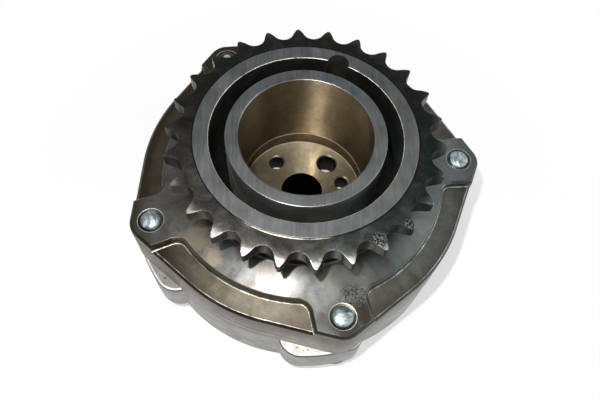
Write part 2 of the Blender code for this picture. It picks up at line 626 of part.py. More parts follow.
def make_vane_rotor(parts, cutters, hub_steel):
    """Vanes, body and hub in one piece, with the bore that takes the camshaft's nose."""
    rotor = extruded("vane_rotor", rotor_outline(), ROTOR_BOTTOM, ROTOR_TOP, parts, hub_steel)
    hub_profile = [
        (0.0, COLLAR_TOP),
        (HUB_RADIUS - EDGE_CHAMFER, COLLAR_TOP),
        (HUB_RADIUS, COLLAR_TOP - EDGE_CHAMFER),
        (HUB_RADIUS, (ROTOR_BOTTOM + ROTOR_TOP) / 2),
        (0.0, (ROTOR_BOTTOM + ROTOR_TOP) / 2),
    ]
    hub = turned("hub_blank", hub_profile, cutters, closed=False)
    combine(rotor, hub, "UNION")
    relief_radius = CAM_BORE_RADIUS + RELIEF_UNDERCUT
    mouth = EDGE_CHAMFER
    bore_profile = [
        (0.0, COLLAR_TOP + mouth),
        (CAM_BORE_RADIUS + 2 * mouth, COLLAR_TOP + mouth),
        (CAM_BORE_RADIUS, COLLAR_TOP - mouth),
        (CAM_BORE_RADIUS, RELIEF_TOP + RELIEF_UNDERCUT),
        (relief_radius, RELIEF_TOP),
        (relief_radius, BORE_FLOOR + 2 * RELIEF_UNDERCUT),
        (CAM_BORE_RADIUS - RELIEF_UNDERCUT / 4, BORE_FLOOR),
        (0.0, BORE_FLOOR),
    ]
    combine(rotor, turned("cam_bore", bore_profile, cutters, closed=False))
    combine(rotor, cylinder("cam_bolt_hole", CAM_BOLT_HOLE_RADIUS, ROTOR_BOTTOM - CUT_MARGIN,
                            BORE_FLOOR + CUT_MARGIN, cutters, steps=2 * BOLT_STEPS))
    combine(rotor, cylinder("cam_bolt_seat", CAM_BOLT_SEAT_RADIUS, ROTOR_BOTTOM - CUT_MARGIN,
                            ROTOR_BOTTOM + CAM_BOLT_SEAT_DEPTH, cutters, steps=2 * BOLT_STEPS))
    for number, (angle, radius) in enumerate(zip(FLOOR_HOLE_ANGLES, FLOOR_HOLE_RADII)):
        place = polar(FLOOR_HOLE_CIRCLE, angle)
        hole = cylinder(f"floor_hole_{number + 1}", radius, BORE_FLOOR - FLOOR_HOLE_DEPTH,
                        BORE_FLOOR + CUT_MARGIN, cutters, place, BOLT_STEPS)
        sink = cylinder(f"floor_sink_{number + 1}", radius - FLOOR_HOLE_CHAMFER,
                        BORE_FLOOR - 2 * FLOOR_HOLE_CHAMFER, BORE_FLOOR + FLOOR_HOLE_CHAMFER, cutters,
                        place, BOLT_STEPS, end_radius=radius + 2 * FLOOR_HOLE_CHAMFER)
        combine(rotor, hole)
        combine(rotor, sink)
    pin_place = polar(LOCK_PIN_CIRCLE, LOCK_PIN_ANGLE)
    shoulder = ROTOR_BOTTOM + LOCK_SHOULDER_HEIGHT
    combine(rotor, cylinder("pin_guide", LOCK_PIN_RADIUS + JOURNAL_GAP, ROTOR_BOTTOM - CUT_MARGIN,
                            ROTOR_TOP, cutters, pin_place, BOLT_STEPS))
    combine(rotor, cylinder("pin_head_bore", LOCK_PIN_HEAD_RADIUS + JOURNAL_GAP, shoulder,
                            ROTOR_TOP + CUT_MARGIN, cutters, pin_place, BOLT_STEPS))
    for number in range(len(VANE_ANGLES)):
        (right_angle, right_offset), (left_angle, left_offset), _ = vane_edges(number)
        reach = PORT_RADIUS + VANE_FILLET
        lean = math.degrees(math.asin((abs(right_offset) + reach) / ROTOR_RADIUS))
        for side, angle, height in (("right", right_angle - lean, LOW_PORT_HEIGHT),
                                    ("left", left_angle + lean, HIGH_PORT_HEIGHT)):
            port = cylinder(f"oil_port_{number + 1}_{side}", PORT_RADIUS, ROTOR_RADIUS - PORT_DEPTH,
                            ROTOR_RADIUS + CUT_MARGIN, cutters, steps=8)
            port.data.transform(Matrix.Rotation(math.radians(90), 4, "Y"))
            port.location.z = height
            port.rotation_euler.z = math.radians(angle)
            combine(rotor, port)
    return rotor


def bar_outline(angle, inner, outer):
    """A seal's section, with its working face rounded off at both edges."""
    half = SEAL_WIDTH / 2
    ease = half / 4
    return [
        in_frame(angle, inner, -half + ease),
        in_frame(angle, inner + ease, -half),
        in_frame(angle, outer - ease, -half),
        in_frame(angle, outer, -half + ease),
        in_frame(angle, outer, half - ease),
        in_frame(angle, outer - ease, half),
        in_frame(angle, inner + ease, half),
        in_frame(angle, inner, half - ease),
    ][::-1]


def leaf_outline(length):
    """A bowed leaf spring seen from the side: length along X, bow along Y."""
    steps = 8
    low, high = [], []
    for step in range(steps + 1):
        share = step / steps
        along = (share - 0.5) * length
        rise = SEAL_SPRING_RISE * math.sin(math.pi * share)
        low.append(Vector((along, rise)))
        high.append(Vector((along, rise + SEAL_SPRING_THICKNESS)))
    return low + high[::-1]


def make_seal(kind, number, angle, face, inward, parts, seal_plastic, spring_steel):
    """One sprung seal. Its face works at this radius, and it stands inward or outward of its slot."""
    toward = -1 if inward else 1
    back = face - toward * SEAL_HEIGHT
    low, high = min(face, back), max(face, back)
    bottom = ROTOR_BOTTOM + SEAL_SIDE_GAP
    top = ROTOR_TOP - SEAL_SIDE_GAP
    extruded(f"{kind}_seal_{number}", bar_outline(angle, low, high), bottom, top, parts, seal_plastic)
    length = (top - bottom) * 0.8
    half_width = SEAL_WIDTH / 2 - SEAL_SIDE_GAP
    spring = extruded(f"{kind}_seal_spring_{number}", leaf_outline(length), -half_width, half_width, parts,
                      spring_steel)
    seat = back - toward * (SEAL_SIDE_GAP + SEAL_SPRING_THICKNESS + SEAL_SPRING_RISE)
    stand = Matrix.Rotation(math.radians(-90), 4, "Y")
    if inward:
        stand = stand @ Matrix.Rotation(math.radians(180), 4, "X")
    lay = Matrix.Rotation(math.radians(-90), 4, "X")
    turn = Matrix.Rotation(math.radians(angle), 4, "Z")
    place = Matrix.Translation((seat, 0.0, (top + bottom) / 2))
    spring.data.transform(turn @ place @ stand @ lay)


def make_seals(parts, seal_plastic, spring_steel):
    for number in range(len(VANE_ANGLES)):
        angle = vane_edges(number)[2]
        face = CHAMBER_RADIUS - SEAL_SIDE_GAP
        make_seal("vane", number + 1, angle, face, False, parts, seal_plastic, spring_steel)
    for number, angle in enumerate(EAR_ANGLES):
        face = ROTOR_RADIUS + SEAL_SIDE_GAP
        make_seal("web", number + 1, angle, face, True, parts, seal_plastic, spring_steel)


def lock_bush_radius():
    return LOCK_PIN_RADIUS + JOURNAL_GAP + LOCK_BUSH_WALL


def make_lock(parts, pin_steel, spring_steel):
    """The lock pin held in its vane, its spring and stop cap, and the bush it drops into when parked."""
    place = polar(LOCK_PIN_CIRCLE, LOCK_PIN_ANGLE)
    tip = ROTOR_BOTTOM
    head_bottom = ROTOR_BOTTOM + LOCK_SHOULDER_HEIGHT + LOCK_PIN_STROKE
    head_top = head_bottom + LOCK_PIN_HEAD_HEIGHT
    hollow = LOCK_PIN_RADIUS - LOCK_PIN_WALL
    hollow_floor = tip + 2 * LOCK_PIN_WALL
    ease = EDGE_CHAMFER
    pin_profile = [
        (0.0, hollow_floor),
        (hollow, hollow_floor),
        (hollow, head_top),
        (LOCK_PIN_HEAD_RADIUS - ease, head_top),
        (LOCK_PIN_HEAD_RADIUS, head_top - ease),
        (LOCK_PIN_HEAD_RADIUS, head_bottom),
        (LOCK_PIN_RADIUS, head_bottom),
        (LOCK_PIN_RADIUS, tip + 2 * ease),
        (LOCK_PIN_RADIUS - ease, tip),
        (0.0, tip),
    ]
    pin = turned("lock_pin", pin_profile, parts, pin_steel, BOLT_STEPS, closed=False)
    pin.location = (place.x, place.y, 0.0)

    cap_radius = LOCK_PIN_HEAD_RADIUS
    cap_top = ROTOR_TOP - SEAT_GAP
    skirt_bottom = head_top + LOCK_PIN_OVERTRAVEL + SEAT_GAP
    cap_profile = [
        (cap_radius - ease, cap_top),
        (cap_radius, cap_top - ease),
        (cap_radius, skirt_bottom),
        (hollow + ease, skirt_bottom),
        (hollow + ease, cap_top - LOCK_CAP_THICKNESS),
        (LOCK_VENT_RADIUS, cap_top - LOCK_CAP_THICKNESS),
        (LOCK_VENT_RADIUS, cap_top),
    ]
    cap = turned("lock_pin_cap", cap_profile, parts, pin_steel, BOLT_STEPS)
    cap.location = (place.x, place.y, 0.0)

    spring_bottom = hollow_floor + SEAT_GAP + LOCK_SPRING_WIRE / 2
    spring_top = cap_top - LOCK_CAP_THICKNESS - SEAT_GAP - LOCK_SPRING_WIRE / 2
    coil_radius = hollow - SEAL_SIDE_GAP - LOCK_SPRING_WIRE / 2
    curve = bpy.data.curves.new("lock_pin_spring", "CURVE")
    curve.dimensions = "3D"
    curve.bevel_depth = LOCK_SPRING_WIRE / 2
    curve.bevel_resolution = 1
    curve.use_fill_caps = True
    curve.materials.append(spring_steel)
    spline = curve.splines.new("POLY")
    per_turn = 10
    count = per_turn * LOCK_SPRING_TURNS
    spline.points.add(count)
    for step, point in enumerate(spline.points):
        share = step / count
        at = polar(coil_radius, 360.0 * step / per_turn)
        point.co = (at.x, at.y, spring_bottom + (spring_top - spring_bottom) * share, 1.0)
    spring = bpy.data.objects.new("lock_pin_spring", curve)
    parts.objects.link(spring)
    spring.location = (place.x, place.y, 0.0)

    bush_place = polar(LOCK_PIN_CIRCLE, LOCK_PIN_ANGLE + PARK_ANGLE)
    bush_top = END_WALL - EDGE_CHAMFER / 2
    bush_bottom = END_WALL - LOCK_BUSH_DEPTH
    bore = LOCK_PIN_RADIUS + JOURNAL_GAP
    bush_profile = [
        (lock_bush_radius(), bush_top),
        (lock_bush_radius(), bush_bottom),
        (bore, bush_bottom),
        (bore, bush_top - EDGE_CHAMFER),
        (bore + EDGE_CHAMFER, bush_top),
    ]
    bush = turned("lock_bush", bush_profile, parts, pin_steel, BOLT_STEPS)
    bush.location = (bush_place.x, bush_place.y, 0.0)


def make_cover_bolts(parts, cutters, zinc):
    """Flanged hex bolts from the boss side, whose rounded ends stand out of the ears."""
    seat = HEAD_SEAT - SEAT_GAP
    end = PLATE_TOP + BOLT_END_RISE
    dome = [
        (BOLT_RADIUS * math.sin(math.radians(a)),
         end - BOLT_END_RISE * (1 - math.cos(math.radians(a))))
        for a in (0, 30, 55, 75, 90)
    ]
    flange_bottom = seat - BOLT_HEAD_FLANGE
    profile = [
        *dome,
        (BOLT_RADIUS, seat),
        (BOLT_HEAD_FLANGE_RADIUS, seat),
        (BOLT_HEAD_FLANGE_RADIUS, seat - BOLT_HEAD_FLANGE / 2),
        (BOLT_HEAD_HALF_WIDTH, flange_bottom),
        (0.0, flange_bottom),
    ]
    corner_radius = BOLT_HEAD_HALF_WIDTH / math.cos(math.radians(30))
    for number, angle in enumerate(EAR_ANGLES):
        place = polar(BOLT_CIRCLE_RADIUS, angle)
        bolt = turned(f"cover_bolt_{number + 1}", profile, parts, zinc, BOLT_STEPS, closed=False)
        bolt.location = (place.x, place.y, 0.0)
        head = cylinder(f"bolt_hex_{number + 1}", corner_radius, seat - BOLT_HEAD_HEIGHT,
                        seat - BOLT_HEAD_FLANGE / 2, cutters, place, 6)
        combine(bolt, head, "UNION")


def main():
    clear_scene()
    parts = new_collection("cam_phaser")
    cutters = new_collection("cutters")
    steel = new_material("sintered_steel", (0.19, 0.17, 0.155), 0.36, 1.0)
    cast = new_material("cast_aluminium", (0.56, 0.56, 0.55), 0.48, 1.0)
    hub_steel = new_material("hub_steel", (0.42, 0.44, 0.45), 0.32, 1.0)
    seal_plastic = new_material("seal_plastic", (0.06, 0.06, 0.06), 0.5, 0.0)
    spring_steel = new_material("spring_steel", (0.45, 0.45, 0.46), 0.3, 1.0)
    pin_steel = new_material("pin_steel", (0.5, 0.5, 0.5), 0.25, 1.0)
    zinc = new_material("zinc_plate", (0.68, 0.74, 0.76), 0.22, 1.0)
    make_sprocket_cover(parts, cutters, steel)
    make_stator_housing(parts, cutters, cast)
    make_vane_rotor(parts, cutters, hub_steel)
    make_seals(parts, seal_plastic, spring_steel)
    make_lock(parts, pin_steel, spring_steel)
    make_cover_bolts(parts, cutters, zinc)
    for made in parts.objects:
        if made.type == "MESH":
            shade_round(made)


main()
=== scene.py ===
import math

import bmesh
import bpy
from mathutils import Matrix, Vector


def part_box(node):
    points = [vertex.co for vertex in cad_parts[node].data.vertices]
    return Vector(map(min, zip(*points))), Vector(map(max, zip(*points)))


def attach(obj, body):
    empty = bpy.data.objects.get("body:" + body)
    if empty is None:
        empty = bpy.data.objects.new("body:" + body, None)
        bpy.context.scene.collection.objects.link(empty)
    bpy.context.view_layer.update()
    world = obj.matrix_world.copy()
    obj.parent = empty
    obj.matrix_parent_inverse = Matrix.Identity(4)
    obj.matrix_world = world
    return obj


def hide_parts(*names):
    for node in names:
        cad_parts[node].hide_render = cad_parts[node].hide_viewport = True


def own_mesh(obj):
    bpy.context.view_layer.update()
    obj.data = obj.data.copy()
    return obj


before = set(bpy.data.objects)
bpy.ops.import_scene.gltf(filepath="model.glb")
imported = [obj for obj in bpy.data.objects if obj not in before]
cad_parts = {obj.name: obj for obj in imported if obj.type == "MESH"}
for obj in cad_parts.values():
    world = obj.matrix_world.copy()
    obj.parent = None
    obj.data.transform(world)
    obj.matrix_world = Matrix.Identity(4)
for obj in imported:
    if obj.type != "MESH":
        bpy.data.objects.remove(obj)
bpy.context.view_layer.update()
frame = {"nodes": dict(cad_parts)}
nodes = frame["nodes"]
mm = 0.001
# what counts as lying on the axis, and how far a cutting tool reaches past what it cuts, in millimetres
tiny, past = 1e-6, 1.0
# degrees between the points of hidden arcs, and the sides of round shapes
coarse = 3.0
roundSides = {"whole": 288, "bore": 128, "hole": 64, "pin": 48, "shank": 32, "port": 20, "vent": 16}
print("frame loaded:", len(nodes), "nodes")

# heights and radii that several pieces share, in millimetres
phaser = {
    "rotorBottom": 7.1,
    "rotorTop": 31.6,
    "plateBottom": 31.9,
    "pocketFloor": 34.6,
    "plateTop": 37.0,
    "wheelBottom": 48.8,
    "wheelTop": 54.2,
    "collarTop": 54.7,
    "plateRadius": 50.71,
    "boltCircle": 49.41,
    "earTip": 6.3,
    "earAngles": (31.0, 149.0, 230.5, 309.5),
    "chamberRadius": 41.61,
    "rotorRadius": 26.21,
    "hubRadius": 23.51,
    "boreRadius": 19.66,
}


# a shader value that takes part in plain arithmetic
class Field:
    def __init__(self, nodes, socket):
        self.nodes = nodes
        self.socket = socket

    def maths(self, operation, *others):
        node = self.nodes.add("Math", {"operation": operation}, dict(enumerate((self,) + others)))
        return Field(self.nodes, node.outputs[0])

    def __add__(self, other):
        return self.maths("ADD", other)

    __radd__ = __add__

    def __mul__(self, other):
        return self.maths("MULTIPLY", other)

    __rmul__ = __mul__

    def __sub__(self, other):
        return self.maths("SUBTRACT", other)

    def __rsub__(self, other):
        return (self * -1.0) + other

    def __pow__(self, other):
        return self.maths("POWER", other)

    def between(self, low, high, start=0.0, end=1.0):
        values = {"Value": self, "From Min": low, "From Max": high, "To Min": start, "To Max": end}
        node = self.nodes.add("MapRange", {"interpolation_type": "SMOOTHSTEP"}, values)
        return Field(self.nodes, node.outputs["Result"])

    # how far it is from a half, times a share
    def swing(self, share):
        return (self - 0.5) * share


# a node tree, and the one method that puts a node into it
class Nodes:
    def __init__(self, owner):
        owner.use_nodes = True
        self.owner = owner
        self.tree = owner.node_tree
        self.tree.nodes.clear()

    def add(self, kind, settings=None, values=None):
        node = self.tree.nodes.new("ShaderNode" + kind)
        for key, value in (settings or {}).items():
            if key == "stops":
                self.setStops(node.color_ramp.elements, value)
            else:
                setattr(node, key, value)
        for key, value in (values or {}).items():
            socket = node.inputs[key]
            if isinstance(value, Field):
                value = value.socket
            if isinstance(value, bpy.types.NodeSocket):
                self.tree.links.new(value, socket)
            elif isinstance(value, tuple) and socket.type == "RGBA":
                socket.default_value = (*value[:3], 1.0)
            elif value is not None:
                socket.default_value = value
        return node

    def setStops(self, ramp, stops):
        while len(ramp) < len(stops):
            ramp.new(0.5)
        for stop, (where, color) in zip(ramp, stops):
            stop.position = where
            stop.color = (*color, 1.0)

    def field(self, kind, settings, values, output=0):
        return Field(self, self.add(kind, settings, values).outputs[output])

    def ramp(self, value, *stops):
        return self.add("ValToRGB", {"stops": stops}, {0: value}).outputs[0]

    def blend(self, share, first, second):
        return self.add("Mix", {"data_type": "RGBA"}, {0: share, 6: first, 7: second}).outputs[2]


# the nodes of one metal's surface
class Finish(Nodes):
    def __init__(self, name):
        super().__init__(bpy.data.materials.new(name))
        self.place = self.add("TexCoord").outputs["Object"]
        parts = self.add("SeparateXYZ", {}, {0: self.place}).outputs
        self.x, self.y, self.z = (Field(self, part) for part in parts)
        self.radius = (self.x * self.x + self.y * self.y) ** 0.5

    # lengths in millimetres along x, y and z over which the pattern changes, once it is turned about z
    def stretched(self, x, y, z, turn=0.0):
        values = {"Vector": self.place, "Angle": math.radians(-turn)}
        turned = self.add("VectorRotate", {"rotation_type": "Z_AXIS"}, values)
        values = {0: turned.outputs[0], 1: tuple(1.0 / (size * mm) for size in (x, y, z))}
        return self.add("VectorMath", {"operation": "MULTIPLY"}, values).outputs[0]

    # the same along the radius, round the axis and up it
    def turned(self, along, around, up, middle=35.0):
        outward = (self.radius ** -1.0) * (middle / around)
        rise = self.radius * (1.0 / (along * mm)) + self.z * (1.0 / (up * mm))
        return self.add("CombineXYZ", {}, {0: self.x * outward, 1: self.y * outward, 2: rise}).outputs[0]

    # 1 beyond a radius, or within it, changing between two radii in millimetres
    def outside(self, low, high):
        return self.radius.between(low * mm, high * mm)

    def within(self, low, high):
        return self.radius.between(low * mm, high * mm, 1.0, 0.0)

    # how far a place lies toward a bearing, from 0 at the low end to 1 at the high one, in millimetres
    def toward(self, degrees, low, high):
        turn = math.radians(degrees)
        return (self.x * math.cos(turn) + self.y * math.sin(turn)).between(low * mm, high * mm)

    def noise(self, size, detail=3.0, roughness=0.55, place=None, distortion=0.0):
        scale = 1.0 / (size * mm) if place is None else 1.0 / size
        values = {"Vector": self.place if place is None else place, "Scale": scale, "Detail": detail,
                  "Roughness": roughness, "Distortion": distortion}
        return self.field("TexNoise", {}, values, "Fac")

    def cells(self, size):
        return self.field("TexVoronoi", {}, {"Vector": self.place, "Scale": 1.0 / (size * mm)}, "Distance")

    # 1 inside a ragged spot about a point, in millimetres
    def spot(self, x, y, reach, edge, ragged):
        away = ((self.x - x * mm) ** 2.0 + (self.y - y * mm) ** 2.0) ** 0.5 + ragged.swing(3.0 * edge * mm)
        return away.between((reach - edge) * mm, (reach + edge) * mm, 1.0, 0.0)

    # a fine moulding line round part of a wall: a dark broken line of residue and painted shade, with a
    # painted highlight on a paler lip under it
    def seamed(self, color, spec):
        wander = self.noise(spec["wanderSize"], 3.0, 0.6).swing(spec["wander"] * mm)
        away = (self.z - spec["height"] * mm + wander).maths("ABSOLUTE")
        below = (self.z - (spec["height"] - spec["lip"]) * mm + wander).maths("ABSOLUTE")
        along = self.toward(spec["toward"], *spec["reach"])
        broken = self.noise(spec["breakSize"], 4.0, 0.8).between(0.36, 0.5)
        thin = spec["half"] * mm
        lip = below.between(thin, 2.2 * thin, 1.0, 0.0) * along
        line = away.between(thin * 0.6, 1.6 * thin, 1.0, 0.0) * along
        color = self.blend(lip * spec["lipShare"], color, spec["pale"])
        return self.blend(line * broken, color, spec["dark"])

    # tints in soft spots, given as (x, y, reach, edge, share, tint) rows
    def patched(self, color, rows):
        ragged = self.noise(2.4, 3.0, 0.6, distortion=0.5)
        for x, y, reach, edge, share, tint in rows:
            color = self.blend(self.spot(x, y, reach, edge, ragged) * share, color, tint)
        return color

    def bump(self, height, depth):
        return self.add("Bump", {}, {"Height": height, "Distance": depth * mm, "Strength": 1.0}).outputs[0]

    def surface(self, color, roughness, normal, metallic=1.0, **fixed):
        values = {"Base Color": color, "Roughness": roughness, "Metallic": metallic, "Normal": normal}
        values.update({key.replace("_", " "): value for key, value in fixed.items()})
        shader = self.add("BsdfPrincipled", {}, values)
        self.add("OutputMaterial", {}, {0: shader.outputs[0]})
        return self.owner


def polar(radius, degrees):
    turn = math.radians(degrees)
    return Vector((radius * math.cos(turn), radius * math.sin(turn)))


def arc(center, radius, start, end, steps):
    turn = (end - start) / steps
    return [Vector(center) + polar(radius, start + turn * i) for i in range(steps + 1)]


def inFrame(degrees, along, across):
    return Matrix.Rotation(math.radians(degrees), 2) @ Vector((along, across))


def bearing(vector):
    return math.degrees(math.atan2(vector.y, vector.x))


# the fillet between a circle about the axis and a line along the radius at this angle
def cornerArc(degrees, offset, circle, fillet, outside, toward, steps=12):
    reach = circle + fillet if outside else circle - fillet
    across = offset + toward * fillet
    center = inFrame(degrees, math.sqrt(reach ** 2 - across ** 2), across)
    start = bearing(-center if outside else center)
    turn = (degrees - 90 * toward - start + 180) % 360 - 180
    return arc(center, fillet, start, start + turn, steps)


# points strictly between two angles on a circle about the axis, anticlockwise
def around(radius, start, end, step=1.25):
    span = (end - start) % 360
    count = max(1, round(span / step))
    return arc((0.0, 0.0), radius, start, start + span, count)[1:-1]


# an anticlockwise outline with every point moved inward
def insetOutline(outline, size):
    moved = []
    for i, point in enumerate(outline):
        before = (point - outline[i - 1]).normalized()
        after = (outline[(i + 1) % len(outline)] - point).normalized()
        first, second = Vector((-before.y, before.x)), Vector((-after.y, after.x))
        miter = (first + second).normalized()
        moved.append(point + miter * size / max(0.4, miter.dot(first)))
    return moved


# rounds the corners of a profile of (radius, height, fillet) rows
def softened(rows, steps=4):
    points = []
    for i, (r, z, fillet) in enumerate(rows):
        point = Vector((r, z))
        before = Vector(rows[i - 1][:2]) - point
        after = Vector(rows[(i + 1) % len(rows)][:2]) - point
        if fillet == 0.0:
            points.append(point)
            continue
        half = before.angle(after) / 2
        reach = fillet / math.tan(half)
        center = point + (before.normalized() + after.normalized()).normalized() * fillet / math.sin(half)
        start = bearing(point + before.normalized() * reach - center)
        end = bearing(point + after.normalized() * reach - center)
        turn = (end - start + 180) % 360 - 180
        points += arc(center, fillet, start, start + turn, steps)
    return points


def newPiece(name, mesh):
    made = bpy.data.objects.new(name, mesh)
    bpy.context.collection.objects.link(made)
    return made


def meshPiece(name, points, faces):
    mesh = bpy.data.meshes.new(name)
    built = bmesh.new()
    corners = [built.verts.new(Vector(point) * mm) for point in points]
    for face in faces:
        built.faces.new([corners[i] for i in face])
    bmesh.ops.recalc_face_normals(built, faces=built.faces)
    built.to_mesh(mesh)
    built.free()
    return newPiece(name, mesh)


# a prism whose rings are given as (inset, height) rows from the bottom up
def slab(name, outline, rows):
    points, faces = [], []
    count = len(outline)
    for size, height in rows:
        ring = insetOutline(outline, size) if size else outline
        points += [(point.x, point.y, height) for point in ring]
    for row in range(len(rows) - 1):
        for i in range(count):
            j = (i + 1) % count
            low, high = row * count, (row + 1) * count
            faces.append((low + i, low + j, high + j, high + i))
    faces.append(tuple(reversed(range(count))))
    faces.append(tuple(range(len(points) - count, len(points))))
    return meshPiece(name, points, faces)


def block(name, outline, bottom, top):
    return slab(name, outline, [(0.0, bottom), (0.0, top)])


# a rounded edge as (inset, rise) points
def quarterRound(size, angles):
    turns = [math.radians(angle) for angle in angles]
    return [(size * (1 - math.sin(turn)), size * (1 - math.cos(turn))) for turn in turns]


# rows for slab: flat ends with a rounded edge at each
def edgeRows(bottom, top, bottomEdge, topEdge, steps=3):
    angles = [90.0 * i / steps for i in range(steps + 1)]
    low = [(inset, bottom + rise) for inset, rise in quarterRound(bottomEdge, angles)]
    high = [(inset, top - rise) for inset, rise in quarterRound(topEdge, angles)]
    return low + high[::-1]


# a solid of revolution from a profile of (radius, height) points, closed or from axis to axis
def lathe(name, profile, steps=roundSides["whole"], center=(0.0, 0.0)):
    points, rings = [], []
    for r, z in profile:
        if r < tiny:
            rings.append([len(points)] * steps)
            points.append((center[0], center[1], z))
            continue
        rings.append(list(range(len(points), len(points) + steps)))
        for i in range(steps):
            at = polar(r, 360.0 * i / steps)
            points.append((center[0] + at.x, center[1] + at.y, z))
    faces = []
    onAxis = profile[0][0] < tiny
    for row in range(len(rings) - (1 if onAxis else 0)):
        first, second = rings[row], rings[(row + 1) % len(rings)]
        for i in range(steps):
            j = (i + 1) % steps
            corners = []
            for corner in (first[i], first[j], second[j], second[i]):
                if corner not in corners:
                    corners.append(corner)
            if len(corners) > 2:
                faces.append(tuple(corners))
    return meshPiece(name, points, faces)


def rod(name, radius, bottom, top, center=(0.0, 0.0), steps=roundSides["hole"], topRadius=None):
    end = radius if topRadius is None else topRadius
    return lathe(name, [(0.0, bottom), (radius, bottom), (end, top), (0.0, top)], steps, center)


# writes the shape that the modifiers give into the mesh
def settle(piece):
    bpy.context.view_layer.update()
    graph = bpy.context.evaluated_depsgraph_get()
    mesh = bpy.data.meshes.new_from_object(piece.evaluated_get(graph))
    piece.modifiers.clear()
    piece.data = mesh
    return piece


def combine(piece, tool, operation):
    step = piece.modifiers.new(operation, "BOOLEAN")
    step.operation = operation
    step.solver = "EXACT"
    step.object = tool
    settle(piece)
    bpy.data.objects.remove(tool, do_unlink=True)
    return piece


def cut(piece, *tools):
    for tool in tools:
        combine(piece, tool, "DIFFERENCE")


def fuse(piece, *tools):
    for tool in tools:
        combine(piece, tool, "UNION")


def softenEdges(piece, width, degrees, steps=2):
    step = piece.modifiers.new("edges", "BEVEL")
    step.width = width * mm
    step.segments = steps
    step.limit_method = "ANGLE"
    step.angle_limit = math.radians(degrees)
    step.miter_outer = "MITER_ARC"
    step.use_clamp_overlap = True
    return settle(piece)


# smooth faces whose flats stay flat
def shadeCleanly(piece, degrees=34.0):
    built = bmesh.new()
    built.from_mesh(piece.data)
    joined = 0.0005 * mm
    bmesh.ops.remove_doubles(built, verts=built.verts, dist=joined)
    bmesh.ops.dissolve_degenerate(built, edges=built.edges, dist=joined)
    built.to_mesh(piece.data)
    built.free()
    piece.data.shade_smooth()
    piece.data.set_sharp_from_angle(angle=math.radians(degrees))
    step = piece.modifiers.new("flats", "WEIGHTED_NORMAL")
    step.keep_sharp = True
    step.weight = 80


# gives each face the finish that a rule names from its middle and its normal, in millimetres
def dress(piece, rule, finishes):
    names = list(finishes)
    piece.data.materials.clear()
    for name in names:
        piece.data.materials.append(finishes[name])
    for face in piece.data.polygons:
        middle = face.center / mm
        face.material_index = names.index(rule(math.hypot(middle.x, middle.y), middle, face.normal))


wheel = {
    "teeth": 26,
    "pitch": 9.525,
    "seat": 3.2,
    "seatHalfAngle": 62.5,
    "flank": 13.5,
    "tip": 1.4,
    "phase": 2.7,
    "bevelStart": -0.8,
    "crownRadius": 18.0,
    "edge": 0.14,
    "edgeFrom": 50.0,
    "spare": 2.0,
}

cover = {
    "collarRadius": 32.51,
    "collarBore": 28.11,
    "collarEdge": 0.14,
    "collarInnerEdge": 0.26,
    "collarFoot": 0.3,
    "neckRadius": 33.01,
    "neckFillet": 1.0,
    "notchRadius": 3.3,
    "notchAngle": 96.3,
    "journalGap": 0.25,
    "plateChamfer": 0.7,
    "ease": 0.16,
    "landHalfWidth": 8.5,
    "landRadius": 43.86,
    "landFillet": 3.4,
    "landGap": 0.02,
    "landRise": 0.2,
    "innerDepth": 1.7,
    "roundAngles": (0, 22, 45, 67, 90),
    "footFillet": 0.4,
    "threadRadius": 3.15,
    "sink": 0.75,
    "sinkRim": 0.1,
}


def toothOutline(spec):
    pitchAngle = 360.0 / spec["teeth"]
    pitchRadius = spec["pitch"] / 2 / math.sin(math.pi / spec["teeth"])
    tipRadius = pitchRadius + spec["tip"]
    center = Vector((pitchRadius, 0.0))
    seat = arc(center, spec["seat"], 180.0, 180.0 - spec["seatHalfAngle"], 9)
    normal = (seat[-1] - center).normalized()
    flankCenter = seat[-1] + normal * spec["flank"]
    reach = flankCenter.length
    along = (reach ** 2 + tipRadius ** 2 - spec["flank"] ** 2) / (2 * reach)
    flankEnd = polar(tipRadius, bearing(flankCenter) - math.degrees(math.acos(along / tipRadius)))
    flank = arc(flankCenter, spec["flank"], bearing(-normal), bearing(flankEnd - flankCenter), 7)[1:]
    half = seat + flank
    gap = [Vector((point.x, -point.y)) for point in reversed(half[1:])] + half
    outline = []
    for number in range(spec["teeth"]):
        middle = 90.0 + spec["phase"] + (number + 0.5) * pitchAngle
        outline += [inFrame(middle, point.x, point.y) for point in gap]
        following = inFrame(middle + pitchAngle, gap[0].x, gap[0].y)
        outline += around(tipRadius, bearing(outline[-1]), bearing(following), 0.5)
    return outline


def earLean():
    return math.degrees(math.acos((phaser["plateRadius"] - phaser["earTip"]) / phaser["boltCircle"]))


def earedOutline():
    lean = earLean()
    angles = phaser["earAngles"]
    outline = []
    for number, angle in enumerate(angles):
        following = angles[(number + 1) % len(angles)]
        outline += arc(polar(phaser["boltCircle"], angle), phaser["earTip"], angle - lean, angle + lean, 28)
        outline += around(phaser["plateRadius"], angle + lean, following - lean)
    return outline


def landOutline(spec):
    lean = earLean()
    half, circle = spec["landHalfWidth"], spec["landRadius"]
    arms = []
    for angle in phaser["earAngles"]:
        right = cornerArc(angle, -half, circle, spec["landFillet"], True, -1)
        left = cornerArc(angle, half, circle, spec["landFillet"], True, 1)
        arms.append((right, left))
    flank = math.radians(lean)
    spare = half - phaser["earTip"] * math.sin(flank)
    reach = phaser["boltCircle"] + phaser["earTip"] * math.cos(flank) - spare * math.tan(flank)
    outline = []
    for number, angle in enumerate(phaser["earAngles"]):
        right, left = arms[number]
        following = arms[(number + 1) % len(arms)][0]
        outline += right + [inFrame(angle, reach, -half)]
        outline += arc(polar(phaser["boltCircle"], angle), phaser["earTip"], angle - lean, angle + lean, 28)
        outline += [inFrame(angle, reach, half)] + list(reversed(left))
        outline += around(circle, bearing(left[0]), bearing(following[0]))
    return outline


